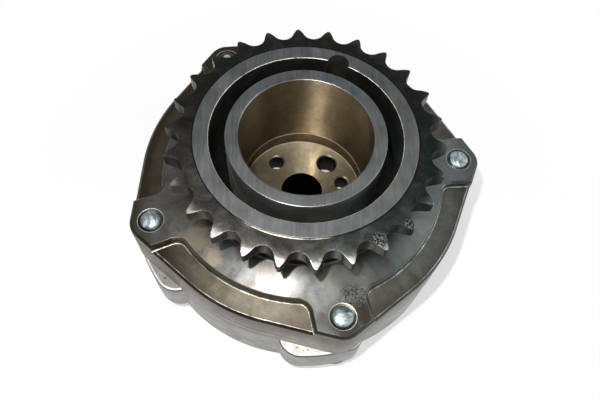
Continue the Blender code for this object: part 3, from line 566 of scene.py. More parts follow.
# rows for slab: a chamfer at the top whose two edges are eased
def chamferRows(bottom, top, size, ease):
    return [(0.0, bottom), (0.0, top - size - ease), (ease * 0.3, top - size + ease * 0.3),
            (size - ease * 0.3, top - ease * 0.3), (size + ease, top)]


def makeCover(spec):
    top, plateTop = phaser["collarTop"], phaser["plateTop"]
    middle = (phaser["wheelBottom"] + phaser["wheelTop"]) / 2
    neck, fillet = spec["neckRadius"], spec["neckFillet"]
    inside = plateTop - spec["innerDepth"]
    bottom = phaser["plateBottom"]
    profile = softened([
        (spec["collarBore"], inside, 0.0),
        (spec["collarBore"], top, spec["collarInnerEdge"]),
        (spec["collarRadius"], top, spec["collarEdge"]),
        (spec["collarRadius"], middle, 0.0),
        (neck, middle, 0.0),
    ]) + arc((neck + fillet, plateTop + fillet), fillet, 180.0, 270.0, 8) + [Vector((neck + fillet, inside))]
    piece = lathe("sprocketCover", profile)

    pitchRadius = wheel["pitch"] / 2 / math.sin(math.pi / wheel["teeth"])
    start = pitchRadius - wheel["seat"] + wheel["bevelStart"]
    beyond = pitchRadius + wheel["tip"] + wheel["spare"]
    inner = (spec["collarBore"] + spec["collarRadius"]) / 2
    low, high = phaser["wheelBottom"], phaser["wheelTop"]
    crown = wheel["crownRadius"]
    foot, ring = spec["collarFoot"], spec["collarRadius"]
    rise = [(ring + out, high + up) for up, out in quarterRound(foot, spec["roundAngles"])]
    falls = [(start + along, crown - math.sqrt(crown ** 2 - along ** 2))
             for along in ((beyond - start) * step / 8 for step in range(9))]
    blank = lathe("wheelBlank", [(inner, high + foot)] + rise + [(r, high - fall) for r, fall in falls]
                  + [(r, low + fall) for r, fall in reversed(falls)] + [(inner, low)])
    spare = wheel["spare"]
    combine(blank, block("teeth", toothOutline(wheel), low - spare, high + spare), "INTERSECT")
    softenEdges(blank, wheel["edge"], wheel["edgeFrom"])

    chamfer, ease, floor = spec["plateChamfer"], spec["ease"], phaser["pocketFloor"]
    plate = slab("plate", earedOutline(), chamferRows(bottom, floor, chamfer, ease))
    foot = spec["footFillet"]
    flare = [(-inset, floor + up) for inset, up in quarterRound(foot, spec["roundAngles"])]
    raised = [(-foot, bottom + spec["landRise"])] + flare + chamferRows(0.0, plateTop, chamfer, ease)[1:]
    land = slab("land", landOutline(spec), raised)
    rim = insetOutline(earedOutline(), -spec["landGap"])
    combine(land, block("rim", rim, bottom - past, plateTop + past), "INTERSECT")
    fuse(plate, land)
    journal = phaser["hubRadius"] + spec["journalGap"]
    cut(plate, rod("journal", journal, bottom - past, plateTop + past, steps=roundSides["whole"]))
    fuse(piece, blank, plate)
    thread, sink, rim = spec["threadRadius"], spec["sink"], spec["sinkRim"]
    mouth = thread + sink
    rimRows = (plateTop - rim / 2, plateTop + rim / 2)
    for angle in phaser["earAngles"]:
        at = polar(phaser["boltCircle"], angle)
        cut(piece, rod("thread", thread, bottom - past, plateTop + past, at),
            rod("sink", thread - sink, plateTop - sink, plateTop + sink, at, topRadius=thread + 3 * sink),
            rod("sinkRim", mouth - rim, *rimRows, at, topRadius=mouth + 3 * rim))
    notch = polar(spec["collarBore"], spec["notchAngle"])
    cut(piece, rod("notch", spec["notchRadius"], plateTop + spec["notchRadius"], top + past, notch))
    return piece


housing = {
    "wallStep": 0.3,
    "endWall": 6.8,
    "endChamfer": 1.2,
    "endLandInner": 36.4,
    "endRecess": 1.2,
    "endBoss": 3.2,
    # at the rim and the opening, at the other edges, and in the recess
    "endFillets": (0.4, 0.3, 0.5),
    # how far the turned body runs up into the band, and the band stays under the plate
    "lap": 2.0,
    "seamGap": 0.02,
    "topEdge": 0.05,
    "endOpening": 15.14,
    "bossTop": 19.6,
    "bossBottom": 6.2,
    "bossRadius": 55.41,
    "bossShort": (9.6, 6.0),
    "bossLong": (21.0, 7.0),
    "bossToward": (1, -1, 1, -1),
    "bossEdge": 0.8,
    "bossLap": 0.2,
    "bandEdge": 0.4,
    "chamberFillet": 2.1,
    "webHalfAngle": 15.5,
    "tipGap": 0.4,
    "scallop": 7.4,
    "spotFace": 0.4,
    "boltHole": 3.3,
    "sealSlot": (3.0, 4.5),
    "bushCircle": 33.91,
    "bushAngle": 65.0,
    "bushSeat": 5.9,
    "bushDepth": 4.8,
    "ventRadius": 1.0,
}


def sealSlot(angle, mouth, bottom, width):
    half = width / 2
    lip = math.sqrt(mouth ** 2 - half ** 2)
    return [inFrame(angle, lip, -half), inFrame(angle, bottom, -half), inFrame(angle, bottom, half),
            inFrame(angle, lip, half)]


def cavityOutline(spec):
    tip = phaser["rotorRadius"] + spec["tipGap"]
    width, depth = spec["sealSlot"]
    corners = []
    web, chamber, fillet = spec["webHalfAngle"], phaser["chamberRadius"], spec["chamberFillet"]
    for angle in phaser["earAngles"]:
        corners.append([cornerArc(angle + side * web, 0.0, chamber, fillet, False, side, 8)
                        for side in (-1, 1)])
    outline = []
    for number, angle in enumerate(phaser["earAngles"]):
        right, left = corners[number]
        following = corners[(number + 1) % len(corners)][0]
        slot = sealSlot(angle, tip, tip + depth, width)
        start, end = angle - web, angle + web
        outline += right + [polar(tip, start)] + around(tip, start, bearing(slot[0]), coarse) + slot
        outline += around(tip, bearing(slot[-1]), end, coarse) + [polar(tip, end)] + list(reversed(left))
        outline += around(chamber, bearing(left[0]), bearing(following[0]), coarse)
    return outline


def bossOutline(spec, angle, toward):
    root = phaser["chamberRadius"] + spec["chamberFillet"]
    short, long = spec["bossShort"], spec["bossLong"]
    low, high = (short, long) if toward > 0 else (long, short)
    start, end = angle - low[0], angle + high[0]
    right = cornerArc(start, 0.0, spec["bossRadius"], low[1], False, 1, 16)
    left = cornerArc(end, 0.0, spec["bossRadius"], high[1], False, -1, 16)
    outer = around(spec["bossRadius"], bearing(right[0]), bearing(left[0]), 1.0)
    return list(reversed(right)) + outer + left + arc((0.0, 0.0), root, end, start, 8)


def makeHousing(spec):
    wall = phaser["plateRadius"] - spec["wallStep"]
    opening, inner, bottom = spec["endOpening"], spec["endLandInner"], spec["bossBottom"]
    endBoss, chamfer, recess = opening + spec["endBoss"], spec["endChamfer"], spec["endRecess"]
    rimFillet, edgeFillet, footFillet = spec["endFillets"]
    profile = softened([
        (opening, spec["bossTop"] + spec["lap"], 0.0),
        (wall, spec["bossTop"] + spec["lap"], 0.0),
        (wall, chamfer, rimFillet),
        (wall - chamfer, 0.0, edgeFillet),
        (inner, 0.0, edgeFillet),
        (inner - recess, recess, footFillet),
        (endBoss + recess, recess, footFillet),
        (endBoss, 0.0, edgeFillet),
        (opening, 0.0, rimFillet),
    ])
    piece = lathe("statorHousing", profile)
    plateBottom, endWall = phaser["plateBottom"], spec["endWall"]
    rows = edgeRows(spec["bossTop"], plateBottom - spec["seamGap"], spec["bandEdge"], spec["topEdge"])
    fuse(piece, slab("band", earedOutline(), rows))
    rows = edgeRows(bottom, spec["bossTop"] + spec["bossLap"], spec["bossEdge"], spec["bossEdge"], 4)
    for angle, side in zip(phaser["earAngles"], spec["bossToward"]):
        fuse(piece, slab("boss", bossOutline(spec, angle, side), rows))
    cut(piece, block("chambers", cavityOutline(spec), endWall, plateBottom + past))
    for angle in phaser["earAngles"]:
        at = polar(phaser["boltCircle"], angle)
        cut(piece, rod("scallop", spec["scallop"], -past, bottom + spec["spotFace"], at),
            rod("hole", spec["boltHole"], -past, plateBottom + past, at, roundSides["shank"]))
    at = polar(spec["bushCircle"], spec["bushAngle"])
    seatBottom = endWall - spec["bushDepth"]
    cut(piece, rod("bushSeat", spec["bushSeat"], seatBottom, endWall + past, at, roundSides["shank"]),
        rod("bushVent", spec["ventRadius"], -past, endWall, at, roundSides["vent"]))
    return piece


rotor = {
    "vaneAngles": (90.0, 189.75, 270.0, 350.25),
    "thinHalfWidth": 4.8,
    "wideHalfAngle": 30.0,
    "wideSealOffset": 9.0,
    "vaneFillet": 1.6,
    "tipGap": 0.4,
    "sealSlot": (3.0, 4.5),
    "vaneEdge": 0.15,
    "hubEdge": 0.35,
    "boreMouth": 0.22,
    "mouthEase": ((0.0, 0.15), (0.06, 0.0)),
    "boreFloor": 20.45,
    "reliefTop": 24.8,
    "relief": 0.6,
    "lip": 0.22,
    "boltHole": 6.9,
    "boltSeat": 12.5,
    "boltSeatDepth": 0.6,
    "floorHoleCircle": 13.9,
    # angle, radius and depth of each
    "floorHoles": ((154.9, 2.45, 7.5), (78.6, 3.25, 9.7), (41.6, 2.3, 7.6)),
    "floorHoleChamfer": 0.4,
    "portRadius": 1.5,
    "portDepth": 6.0,
    "portHeights": (12.2, 18.0),
    "pinCircle": 33.91,
    "pinAngle": 77.0,
    "pinGuide": 3.9,
    "pinHeadBore": 4.8,
    "pinShoulder": 4.5,
}


def vaneSides(spec, number):
    angle = spec["vaneAngles"][number]
    if number == 0:
        half = spec["wideHalfAngle"]
        return (angle - half, 0.0), (angle + half, 0.0), angle + spec["wideSealOffset"]
    return (angle, -spec["thinHalfWidth"]), (angle, spec["thinHalfWidth"]), angle


def rotorOutline(spec):
    body, tip = phaser["rotorRadius"], phaser["chamberRadius"] - spec["tipGap"]
    width, depth = spec["sealSlot"]
    sides = [vaneSides(spec, number) for number in range(len(spec["vaneAngles"]))]
    fillet = spec["vaneFillet"]
    feet = [(cornerArc(*right, body, fillet, True, -1, 8), cornerArc(*left, body, fillet, True, 1, 8))
            for right, left, _ in sides]
    outline = []
    for number, (right, left, sealAngle) in enumerate(sides):
        following = feet[(number + 1) % len(feet)][0]
        before, after = feet[number]
        start, end = (inFrame(turn, math.sqrt(tip ** 2 - across ** 2), across)
                      for turn, across in (right, left))
        slot = sealSlot(sealAngle, tip, tip - depth, width)
        outline += before + [start] + around(tip, bearing(start), bearing(slot[0]), coarse) + slot
        outline += around(tip, bearing(slot[-1]), bearing(end), coarse) + [end] + list(reversed(after))
        outline += around(body, bearing(after[0]), bearing(following[0]), coarse)
    return outline


def makeRotor(spec):
    low, high, top = phaser["rotorBottom"], phaser["rotorTop"], phaser["collarTop"]
    edge, lip = spec["vaneEdge"], spec["lip"]
    piece = slab("vaneRotor", rotorOutline(spec), edgeRows(low, high, edge, edge, 2))
    middle = (low + high) / 2
    hub = softened([(0.0, middle, 0.0), (phaser["hubRadius"], middle, 0.0),
                    (phaser["hubRadius"], top, spec["hubEdge"]), (0.0, top, 0.0)])
    fuse(piece, lathe("hub", hub))
    bore, mouth, relief, floor = phaser["boreRadius"], spec["boreMouth"], spec["relief"], spec["boreFloor"]
    shoulder = spec["reliefTop"]
    # the foot, the relief and its lip, and the eased mouth, from the floor up
    hollow = [(0.0, floor), (bore - relief / 4, floor), (bore, floor + relief / 2)]
    hollow += [(bore + relief, floor + 2 * relief), (bore + relief, shoulder)]
    hollow += [(bore + lip, shoulder + relief - lip), (bore + lip * 0.3, shoulder + relief),
               (bore, shoulder + relief + lip), (bore, shoulder + relief + 3 * lip)]
    hollow += [(bore + out, top - mouth - down) for out, down in spec["mouthEase"]]
    hollow += [(bore + mouth + 0.1, top - 0.05), (bore + 2 * mouth, top + mouth), (0.0, top + mouth)]
    cut(piece, lathe("bore", hollow),
        rod("boltHole", spec["boltHole"], low - past, floor + past, steps=roundSides["bore"]),
        rod("boltSeat", spec["boltSeat"], low - past, low + spec["boltSeatDepth"], steps=roundSides["bore"]))
    chamfer = spec["floorHoleChamfer"]
    for angle, radius, depth in spec["floorHoles"]:
        at = polar(spec["floorHoleCircle"], angle)
        sink = (floor - 2 * chamfer, floor + chamfer)
        cut(piece, rod("floorHole", radius, floor - depth, floor + past, at),
            rod("floorSink", radius - chamfer, *sink, at, topRadius=radius + 2 * chamfer))
    at = polar(spec["pinCircle"], spec["pinAngle"])
    shoulder = low + spec["pinShoulder"]
    cut(piece, rod("pinGuide", spec["pinGuide"], low - past, high, at, roundSides["pin"]),
        rod("pinHeadBore", spec["pinHeadBore"], shoulder, high + past, at, roundSides["pin"]))
    outer, portRadius = phaser["rotorRadius"], spec["portRadius"]
    for number in range(len(spec["vaneAngles"])):
        right, left, _ = vaneSides(spec, number)
        lean = math.degrees(math.asin((abs(right[1]) + portRadius + spec["vaneFillet"]) / outer))
        for angle, height in zip((right[0] - lean, left[0] + lean), spec["portHeights"]):
            port = rod("port", portRadius, outer - spec["portDepth"], outer + past, steps=roundSides["port"])
            port.data.transform(Matrix.Rotation(math.radians(90), 4, "Y"))
            turn = Matrix.Rotation(math.radians(angle), 4, "Z")
            port.data.transform(Matrix.Translation((0.0, 0.0, height * mm)) @ turn)
            cut(piece, port)
    return piece


bolt = {
    "radius": 3.0,
    "endRise": 1.1,
    "seat": 6.3,
    "flangeRadius": 6.2,
    "flange": 1.3,
    "flangeFillets": (0.15, 0.3),
    "headHeight": 5.8,
    "acrossFlats": 8.0,
    "headFlat": 0.96,
    "headBevel": 0.9,
    "headSpare": 0.1,
    "darkAngle": 149.0,
    "darkMiddle": 1.2,
}


def makeBolt(spec, number):
    at = polar(phaser["boltCircle"], phaser["earAngles"][number])
    end = phaser["plateTop"] + spec["endRise"]
    seat, radius = spec["seat"], spec["radius"]
    rise, flat = spec["endRise"], spec["acrossFlats"] / 2
    turns = [math.radians(angle) for angle in range(0, 90, 6)]
    dome = [Vector((radius * math.sin(turn), end - rise * (1 - math.cos(turn)))) for turn in turns]
    flangeLow, flangeMiddle = seat - spec["flange"], seat - spec["flange"] / 2
    upperFillet, lowerFillet = spec["flangeFillets"]
    body = dome + [Vector((radius, end - rise)), Vector((radius, seat))] + softened([
        (spec["flangeRadius"], seat, upperFillet),
        (spec["flangeRadius"], flangeMiddle, lowerFillet),
        (flat, flangeLow, 0.0),
        (0.0, flangeLow, 0.0),
    ])
    piece = lathe(f"coverBolt{number + 1}", body, roundSides["hole"], at)
    corners = flat / math.cos(math.radians(30))
    low = seat - spec["headHeight"]
    head = rod("head", corners, low, flangeMiddle, at, 6)
    side = corners + spec["headSpare"]
    ball = [(0.0, low), (flat * spec["headFlat"], low), (side, low + spec["headBevel"]), (side, seat),
            (0.0, seat)]
    combine(head, lathe("headRound", ball, roundSides["hole"], at), "INTERSECT")
    fuse(piece, head)
    return piece


# ground steel: fine straight lines from the wheel, dark specks and faint stains
def groundFace(name, spec):
    made = Finish(name)
    lines = made.noise(1.0, 4.0, 0.8, made.stretched(*spec["lineSize"], spec["lineTurn"]))
    broad = made.noise(1.0, 2.0, 0.6, made.stretched(*spec["bandSize"], spec["lineTurn"]))
    cloud = made.noise(spec["cloudSize"], 4.0, 0.6)
    specks = made.noise(spec["speckSize"], 2.0, 0.5).between(0.69, 0.76)
    stain = made.noise(spec["stainSize"], 5.0, 0.7, distortion=0.8).between(0.58, 0.76)
    # painted light: the side toward the front is paler and warmer
    front = made.toward(spec["paleToward"], *spec["paleReach"])
    shade = lines.swing(0.9) + broad.swing(0.55) + cloud.swing(0.6) + front * spec["pale"] + 0.5
    color = made.ramp(shade, *spec["stops"])
    color = made.blend(stain * spec["stainShare"], color, spec["stain"])
    color = made.blend(front * spec["tintShare"], color, spec["paleTint"])
    color = made.patched(color, spec["spots"])
    color = made.blend(specks * spec["speckShare"], color, spec["speck"])
    rough = lines.swing(0.22) + cloud.swing(0.16) + stain * 0.1 + spec["roughness"]
    return made.surface(color, rough, made.bump(lines + specks * -0.6, spec["depth"]))


# hardened sintered steel: mottled and porous, with painted light: paler toward the front, a painted
# highlight on the front teeth's tips, a painted reflection that is bluer and paler toward the right, and
# painted shade in the corner at the collar's foot
def sinteredFace(name, spec):
    made = Finish(name)
    cloud = made.noise(spec["cloud"], 5.0, 0.62, distortion=0.7)
    grain = made.noise(spec["grainSize"], 3.0, 0.75)
    pores = made.cells(spec["poreSize"]).between(0.1, 0.28)
    # painted light: paler toward the front, with a painted highlight on the tips of the front teeth
    paintedFront = made.toward(spec["wornToward"], *spec["wornReach"])
    paintedTips = made.toward(spec["tipsToward"], *spec["tipsAlong"]) * made.outside(*spec["tipsReach"])
    shade = cloud.swing(0.9) + grain.swing(0.45)
    shade = shade + paintedFront * spec["wear"] + paintedTips * spec["tipWear"] + spec["level"]
    color = made.ramp(shade, *spec["stops"])
    # painted reflection: bluer and paler toward the right
    cool = made.x.between(*(reach * mm for reach in spec["coolReach"])) * spec["coolShare"]
    coolStops = [(where, tuple(min(1.0, part * gain) for part, gain in zip(tone, spec["coolGain"])))
                 for where, tone in spec["stops"]]
    color = made.blend(cool, color, made.ramp(shade, *coolStops))
    color = made.blend((1.0 - pores) * spec["poreShare"], color, spec["pore"])
    # painted shade: a dark ring in the corner at the collar's foot, away from the front
    root = made.within(*spec["rootReach"]) * (1.0 - paintedFront)
    color = made.blend(root * spec["rootDark"], color, spec["pore"])
    pitting = made.noise(spec["pitSize"], 2.0, 0.6)
    for x, y, reach in spec["pitted"]:
        area = made.spot(x, y, reach, spec["pitEdge"], cloud)
        color = made.blend(area * pitting.between(0.4, 0.5, 1.0, 0.0), color, spec["pore"])
        color = made.blend(area * pitting.between(0.52, 0.6), color, spec["pitRim"])
    rough = grain.swing(0.3) + cloud.swing(0.25) + spec["roughness"]
    return made.surface(color, rough, made.bump(grain * 0.6 + pores * 0.5, spec["depth"]), spec["metallic"])


# as-cast and blasted aluminium: soft grain, small pits and dark residue, with painted shade in the corner
# round the boss tops and toward one side
def castFace(name, spec):
    made = Finish(name)
    cloud = made.noise(spec["cloudSize"], 5.0, 0.62, distortion=0.4)
    grain = made.noise(spec["grainSize"], 4.0, 0.7)
    pits = made.cells(spec["pitSize"]).between(spec["pit"], spec["pit"] + 0.07)
    residue = made.noise(spec["residueSize"], 5.0, 0.75, distortion=1.2).between(0.62, 0.72)
    shade = cloud.swing(0.9) + grain.swing(0.5) + 0.5
    color = made.ramp(shade, *spec["stops"])
    color = made.blend(residue * spec["residue"], color, spec["pitColor"])
    color = made.blend((1.0 - pits) * spec["pitShare"], color, spec["pitColor"])
    # painted shade in the corner where the boss tops meet the band
    color = made.blend(made.within(*spec["cornerReach"]) * spec["corner"], color, spec["pitColor"])
    # painted shade toward one side
    dim = made.toward(spec["dimToward"], *spec["dimReach"]) * spec["dimShare"]
    color = made.blend(dim, color, spec["dim"])
    rough = grain.swing(0.25) + residue * 0.12 + spec["roughness"]
    return made.surface(color, rough, made.bump(grain * 0.7 + pits * 0.9, spec["depth"]))


# a face turned on a lathe: fine rings round the axis, so that a light spreads into a fan
def turnedFace(name, spec):
    made = Finish(name)
    rings = made.noise(1.0, 3.0, 0.7, made.turned(*spec["grain"]))
    cloud = made.noise(spec["cloudSize"], 5.0, 0.62, distortion=0.8)
    mottle = made.noise(spec["mottleSize"], 4.0, 0.7)
    warm = made.noise(spec["warmSize"], 3.0, 0.5, distortion=0.6)
    patches = made.noise(1.0, 4.0, 0.65, made.turned(*spec["patchSize"]), 0.9)
    cool = made.toward(spec["coolToward"], *spec["coolReach"])
    shade = rings.swing(spec["rings"]) + cloud.swing(0.75) + mottle.swing(0.5)
    shade = shade + patches.swing(spec["patches"]) + 0.5
    color = made.ramp(shade, *spec["stops"])
    color = made.blend(warm.between(0.5, 0.66) * (1.0 - cool) * spec["warmShare"], color, spec["warm"])
    color = made.blend(cool * warm * spec["coolShare"], color, spec["cool"])
    # painted shade under the wheel: darker within a radius; the same dark colour marks the pits below
    color = made.blend(made.within(*spec["dirtReach"]) * (0.6 + mottle * 0.5), color, spec["dirt"])
    color = made.patched(color, spec["spots"])
    for x, y, reach in spec["pitted"]:
        pitting = made.noise(spec["pitSize"], 3.0, 0.7).between(0.46, 0.6)
        area = made.spot(x, y, reach, spec["pitEdge"], cloud)
        color = made.blend(area * pitting * 0.8, color, spec["dirt"])
    # painted shade: darker toward one side, and darker toward the rim
    rim = made.outside(*spec["rimReach"]) * spec["rimDim"]
    dim = rim + made.toward(spec["dimToward"], *spec["dimReach"]) * (0.6 + warm * 0.7)
    color = made.blend(dim * spec["dimShare"], color, spec["dim"])
    if spec["seam"]:
        low, high = spec["seam"]["stained"]
        color = made.blend(made.z.between(low * mm, high * mm) * (0.2 + warm * 0.6), color, spec["dim"])
        color = made.seamed(color, spec["seam"])
    rough = rings.swing(0.12) + cloud.swing(0.12) + patches.swing(spec["patches"]) * 0.15 + spec["roughness"]
    return made.surface(color, rough, made.bump(rings, spec["depth"]),
                        Anisotropic=spec["spread"], Anisotropic_Rotation=0.25)


# moulded polymer: faint flow marks and a fine grain
def mouldedFace(name, spec):
    made = Finish(name)
    flow = made.noise(1.0, 3.0, 0.6, made.stretched(*spec["flowSize"]))
    grain = made.noise(spec["grainSize"], 3.0, 0.7)
    rubbed = made.noise(spec["rubSize"], 4.0, 0.7).between(0.58, 0.7)
    color = made.blend(rubbed * 0.5, made.ramp(flow + grain.swing(0.3), *spec["stops"]), spec["rubbed"])
    rough = grain.swing(0.25) - rubbed * 0.1 + spec["roughness"]
    return made.surface(color, rough, made.bump(grain + flow * 0.5, spec["depth"]), 0.0)


# the colours of a ramp, from dark to pale, and their places along it
def tones(*colors, at=(0.15, 0.5, 0.85)):
    return tuple(zip(at, colors))


darkAt = (0.15, 0.5, 0.9)

# Sizes, reaches and depths are in millimetres, bearings in degrees. A reach runs from where something
# starts to where it is full, along its bearing or out from the axis.
groundSteel = {
    "stops": tones((0.085, 0.09, 0.09), (0.17, 0.18, 0.18), (0.29, 0.31, 0.315)),
    "lineSize": (0.16, 9.0, 9.0), "bandSize": (1.3, 24.0, 9.0), "lineTurn": 27.0, "cloudSize": 8.0,
    # painted light toward the front: its bearing and reach, how much paler, and its warmer tint and share
    "paleToward": -55.0, "paleReach": (-22.0, 30.0), "pale": 0.2,
    "paleTint": (0.3, 0.295, 0.265), "tintShare": 0.25,
    "stainSize": 6.5, "stain": (0.13, 0.115, 0.09), "stainShare": 0.45,
    "speckSize": 0.42, "speck": (0.03, 0.028, 0.025), "speckShare": 0.7,
    # place, reach, soft edge, share and tint of each patch
    "spots": ((6.2, 20.4, 1.6, 0.8, 0.45, (0.08, 0.14, 0.18)),),
    "roughness": 0.36, "depth": 0.008,
}

hardSteel = {
    "stops": tones((0.022, 0.021, 0.019), (0.052, 0.049, 0.044), (0.11, 0.103, 0.093), (0.42, 0.395, 0.37),
                   at=(0.15, 0.45, 0.7, 1.0)),
    "cloud": 5.0, "grainSize": 0.3, "level": 0.15,
    "poreSize": 0.5, "pore": (0.012, 0.01, 0.008), "poreShare": 0.55,
    # painted light toward the front, and a painted highlight on the front teeth's tips
    "wornToward": -85.0, "wornReach": (-5.0, 34.0), "wear": 0.38,
    "tipsToward": -45.0, "tipsAlong": (-22.0, 24.0), "tipsReach": (37.0, 41.5), "tipWear": 0.0,
    # painted reflection toward the right: where it starts and is full, how much paler and bluer, and how
    # much
    "coolReach": (12.0, 40.0), "coolGain": (1.05, 1.4, 1.45), "coolShare": 1.0,
    "rootReach": (32.8, 33.3), "rootDark": 0.0,
    "pitted": (), "pitSize": 0.5, "pitEdge": 0.9, "pitRim": (0.3, 0.3, 0.275),
    "metallic": 1.0, "roughness": 0.42, "depth": 0.03,
}
dullSteel = {**hardSteel, "wear": 0.0, "coolShare": 0.0}

castMetal = {
    "stops": tones((0.15, 0.145, 0.135), (0.3, 0.29, 0.275), (0.46, 0.45, 0.43)),
    "cloudSize": 7.0, "grainSize": 0.45, "residueSize": 3.2, "residue": 0.5,
    "pitSize": 1.7, "pit": 0.05, "pitColor": (0.05, 0.045, 0.04), "pitShare": 0.8,
    "cornerReach": (50.5, 51.2), "corner": 0.0,
    "dimToward": 205.0, "dimReach": (30.0, 42.0), "dim": (0.17, 0.16, 0.145), "dimShare": 0.0,
    "roughness": 0.5, "depth": 0.07,
}

turnedSteel = {
    "stops": tones((0.17, 0.16, 0.14), (0.33, 0.32, 0.295), (0.52, 0.52, 0.5)),
    # sizes of the turning marks and of the patches: along the radius, round the axis, up it
    "grain": (0.22, 30.0, 3.0), "rings": 0.3, "patchSize": (11.0, 3.2, 11.0), "patches": 0.0,
    "cloudSize": 8.0, "mottleSize": 1.4,
    "warmSize": 11.0, "warm": (0.27, 0.21, 0.155), "warmShare": 0.5,
    "coolToward": 25.0, "coolReach": (-10.0, 45.0), "cool": (0.19, 0.26, 0.27), "coolShare": 1.0,
    "dirtReach": (-0.8, 0.8), "dirt": (0.03, 0.025, 0.02),
    "spots": (), "pitted": (), "pitSize": 0.55, "pitEdge": 1.4,
    "dimToward": 168.0, "dimReach": (10.0, 50.0), "dim": (0.08, 0.06, 0.042), "dimShare": 0.0,
    "rimReach": (46.0, 50.8), "rimDim": 0.0, "seam": None,
    "roughness": 0.44, "depth": 0.005, "spread": 0.88,
}
plainSteel = {**turnedSteel, "coolShare": 0.0, "warmShare": 0.0, "spread": 0.0}

# the line round the front of the housing's smooth band
mouldingLine = {
    "height": 24.4, "lip": 1.0, "half": 0.36, "toward": -103.0, "reach": (33.0, 48.5),
    "wander": 0.8, "wanderSize": 5.0, "breakSize": 1.6, "lipShare": 0.6,
    "dark": (0.022, 0.018, 0.014), "pale": (0.42, 0.4, 0.37), "stained": (25.5, 32.0),
}

# tints on the plate's land: pale tan patches at the front left that are painted highlight, a blue heat mark
# there, and brown oil round the ears
plateSpots = (
    (28.0, -29.0, 7.0, 2.4, 0.45, (0.66, 0.63, 0.54)),
    # painted highlight: two pale tan patches that spread the lit fan to the left
    (-9.0, -40.0, 3.0, 1.7, 0.75, (0.95, 0.8, 0.6)),
    (-17.0, -37.6, 4.2, 2.6, 0.75, (0.8, 0.7, 0.52)),
    (-24.0, -32.0, 4.0, 3.0, 0.5, (0.4, 0.33, 0.23)),
    (-6.2, -36.4, 1.9, 1.3, 0.7, (0.32, 0.36, 0.38)),
    (26.2, -41.6, 1.8, 1.2, 0.6, (0.15, 0.1, 0.13)),
    (20.6, -40.0, 2.4, 1.6, 0.6, (0.25, 0.2, 0.15)),
    (36.4, -34.5, 2.8, 1.6, 0.8, (0.14, 0.1, 0.068)),
    (35.4, -28.0, 1.6, 1.0, 0.8, (0.62, 0.56, 0.46)),
    (31.4, -38.2, 4.9, 1.0, 0.5, (0.2, 0.16, 0.115)),
    (35.4, -41.5, 4.0, 2.4, 0.6, (0.14, 0.115, 0.09)),
)

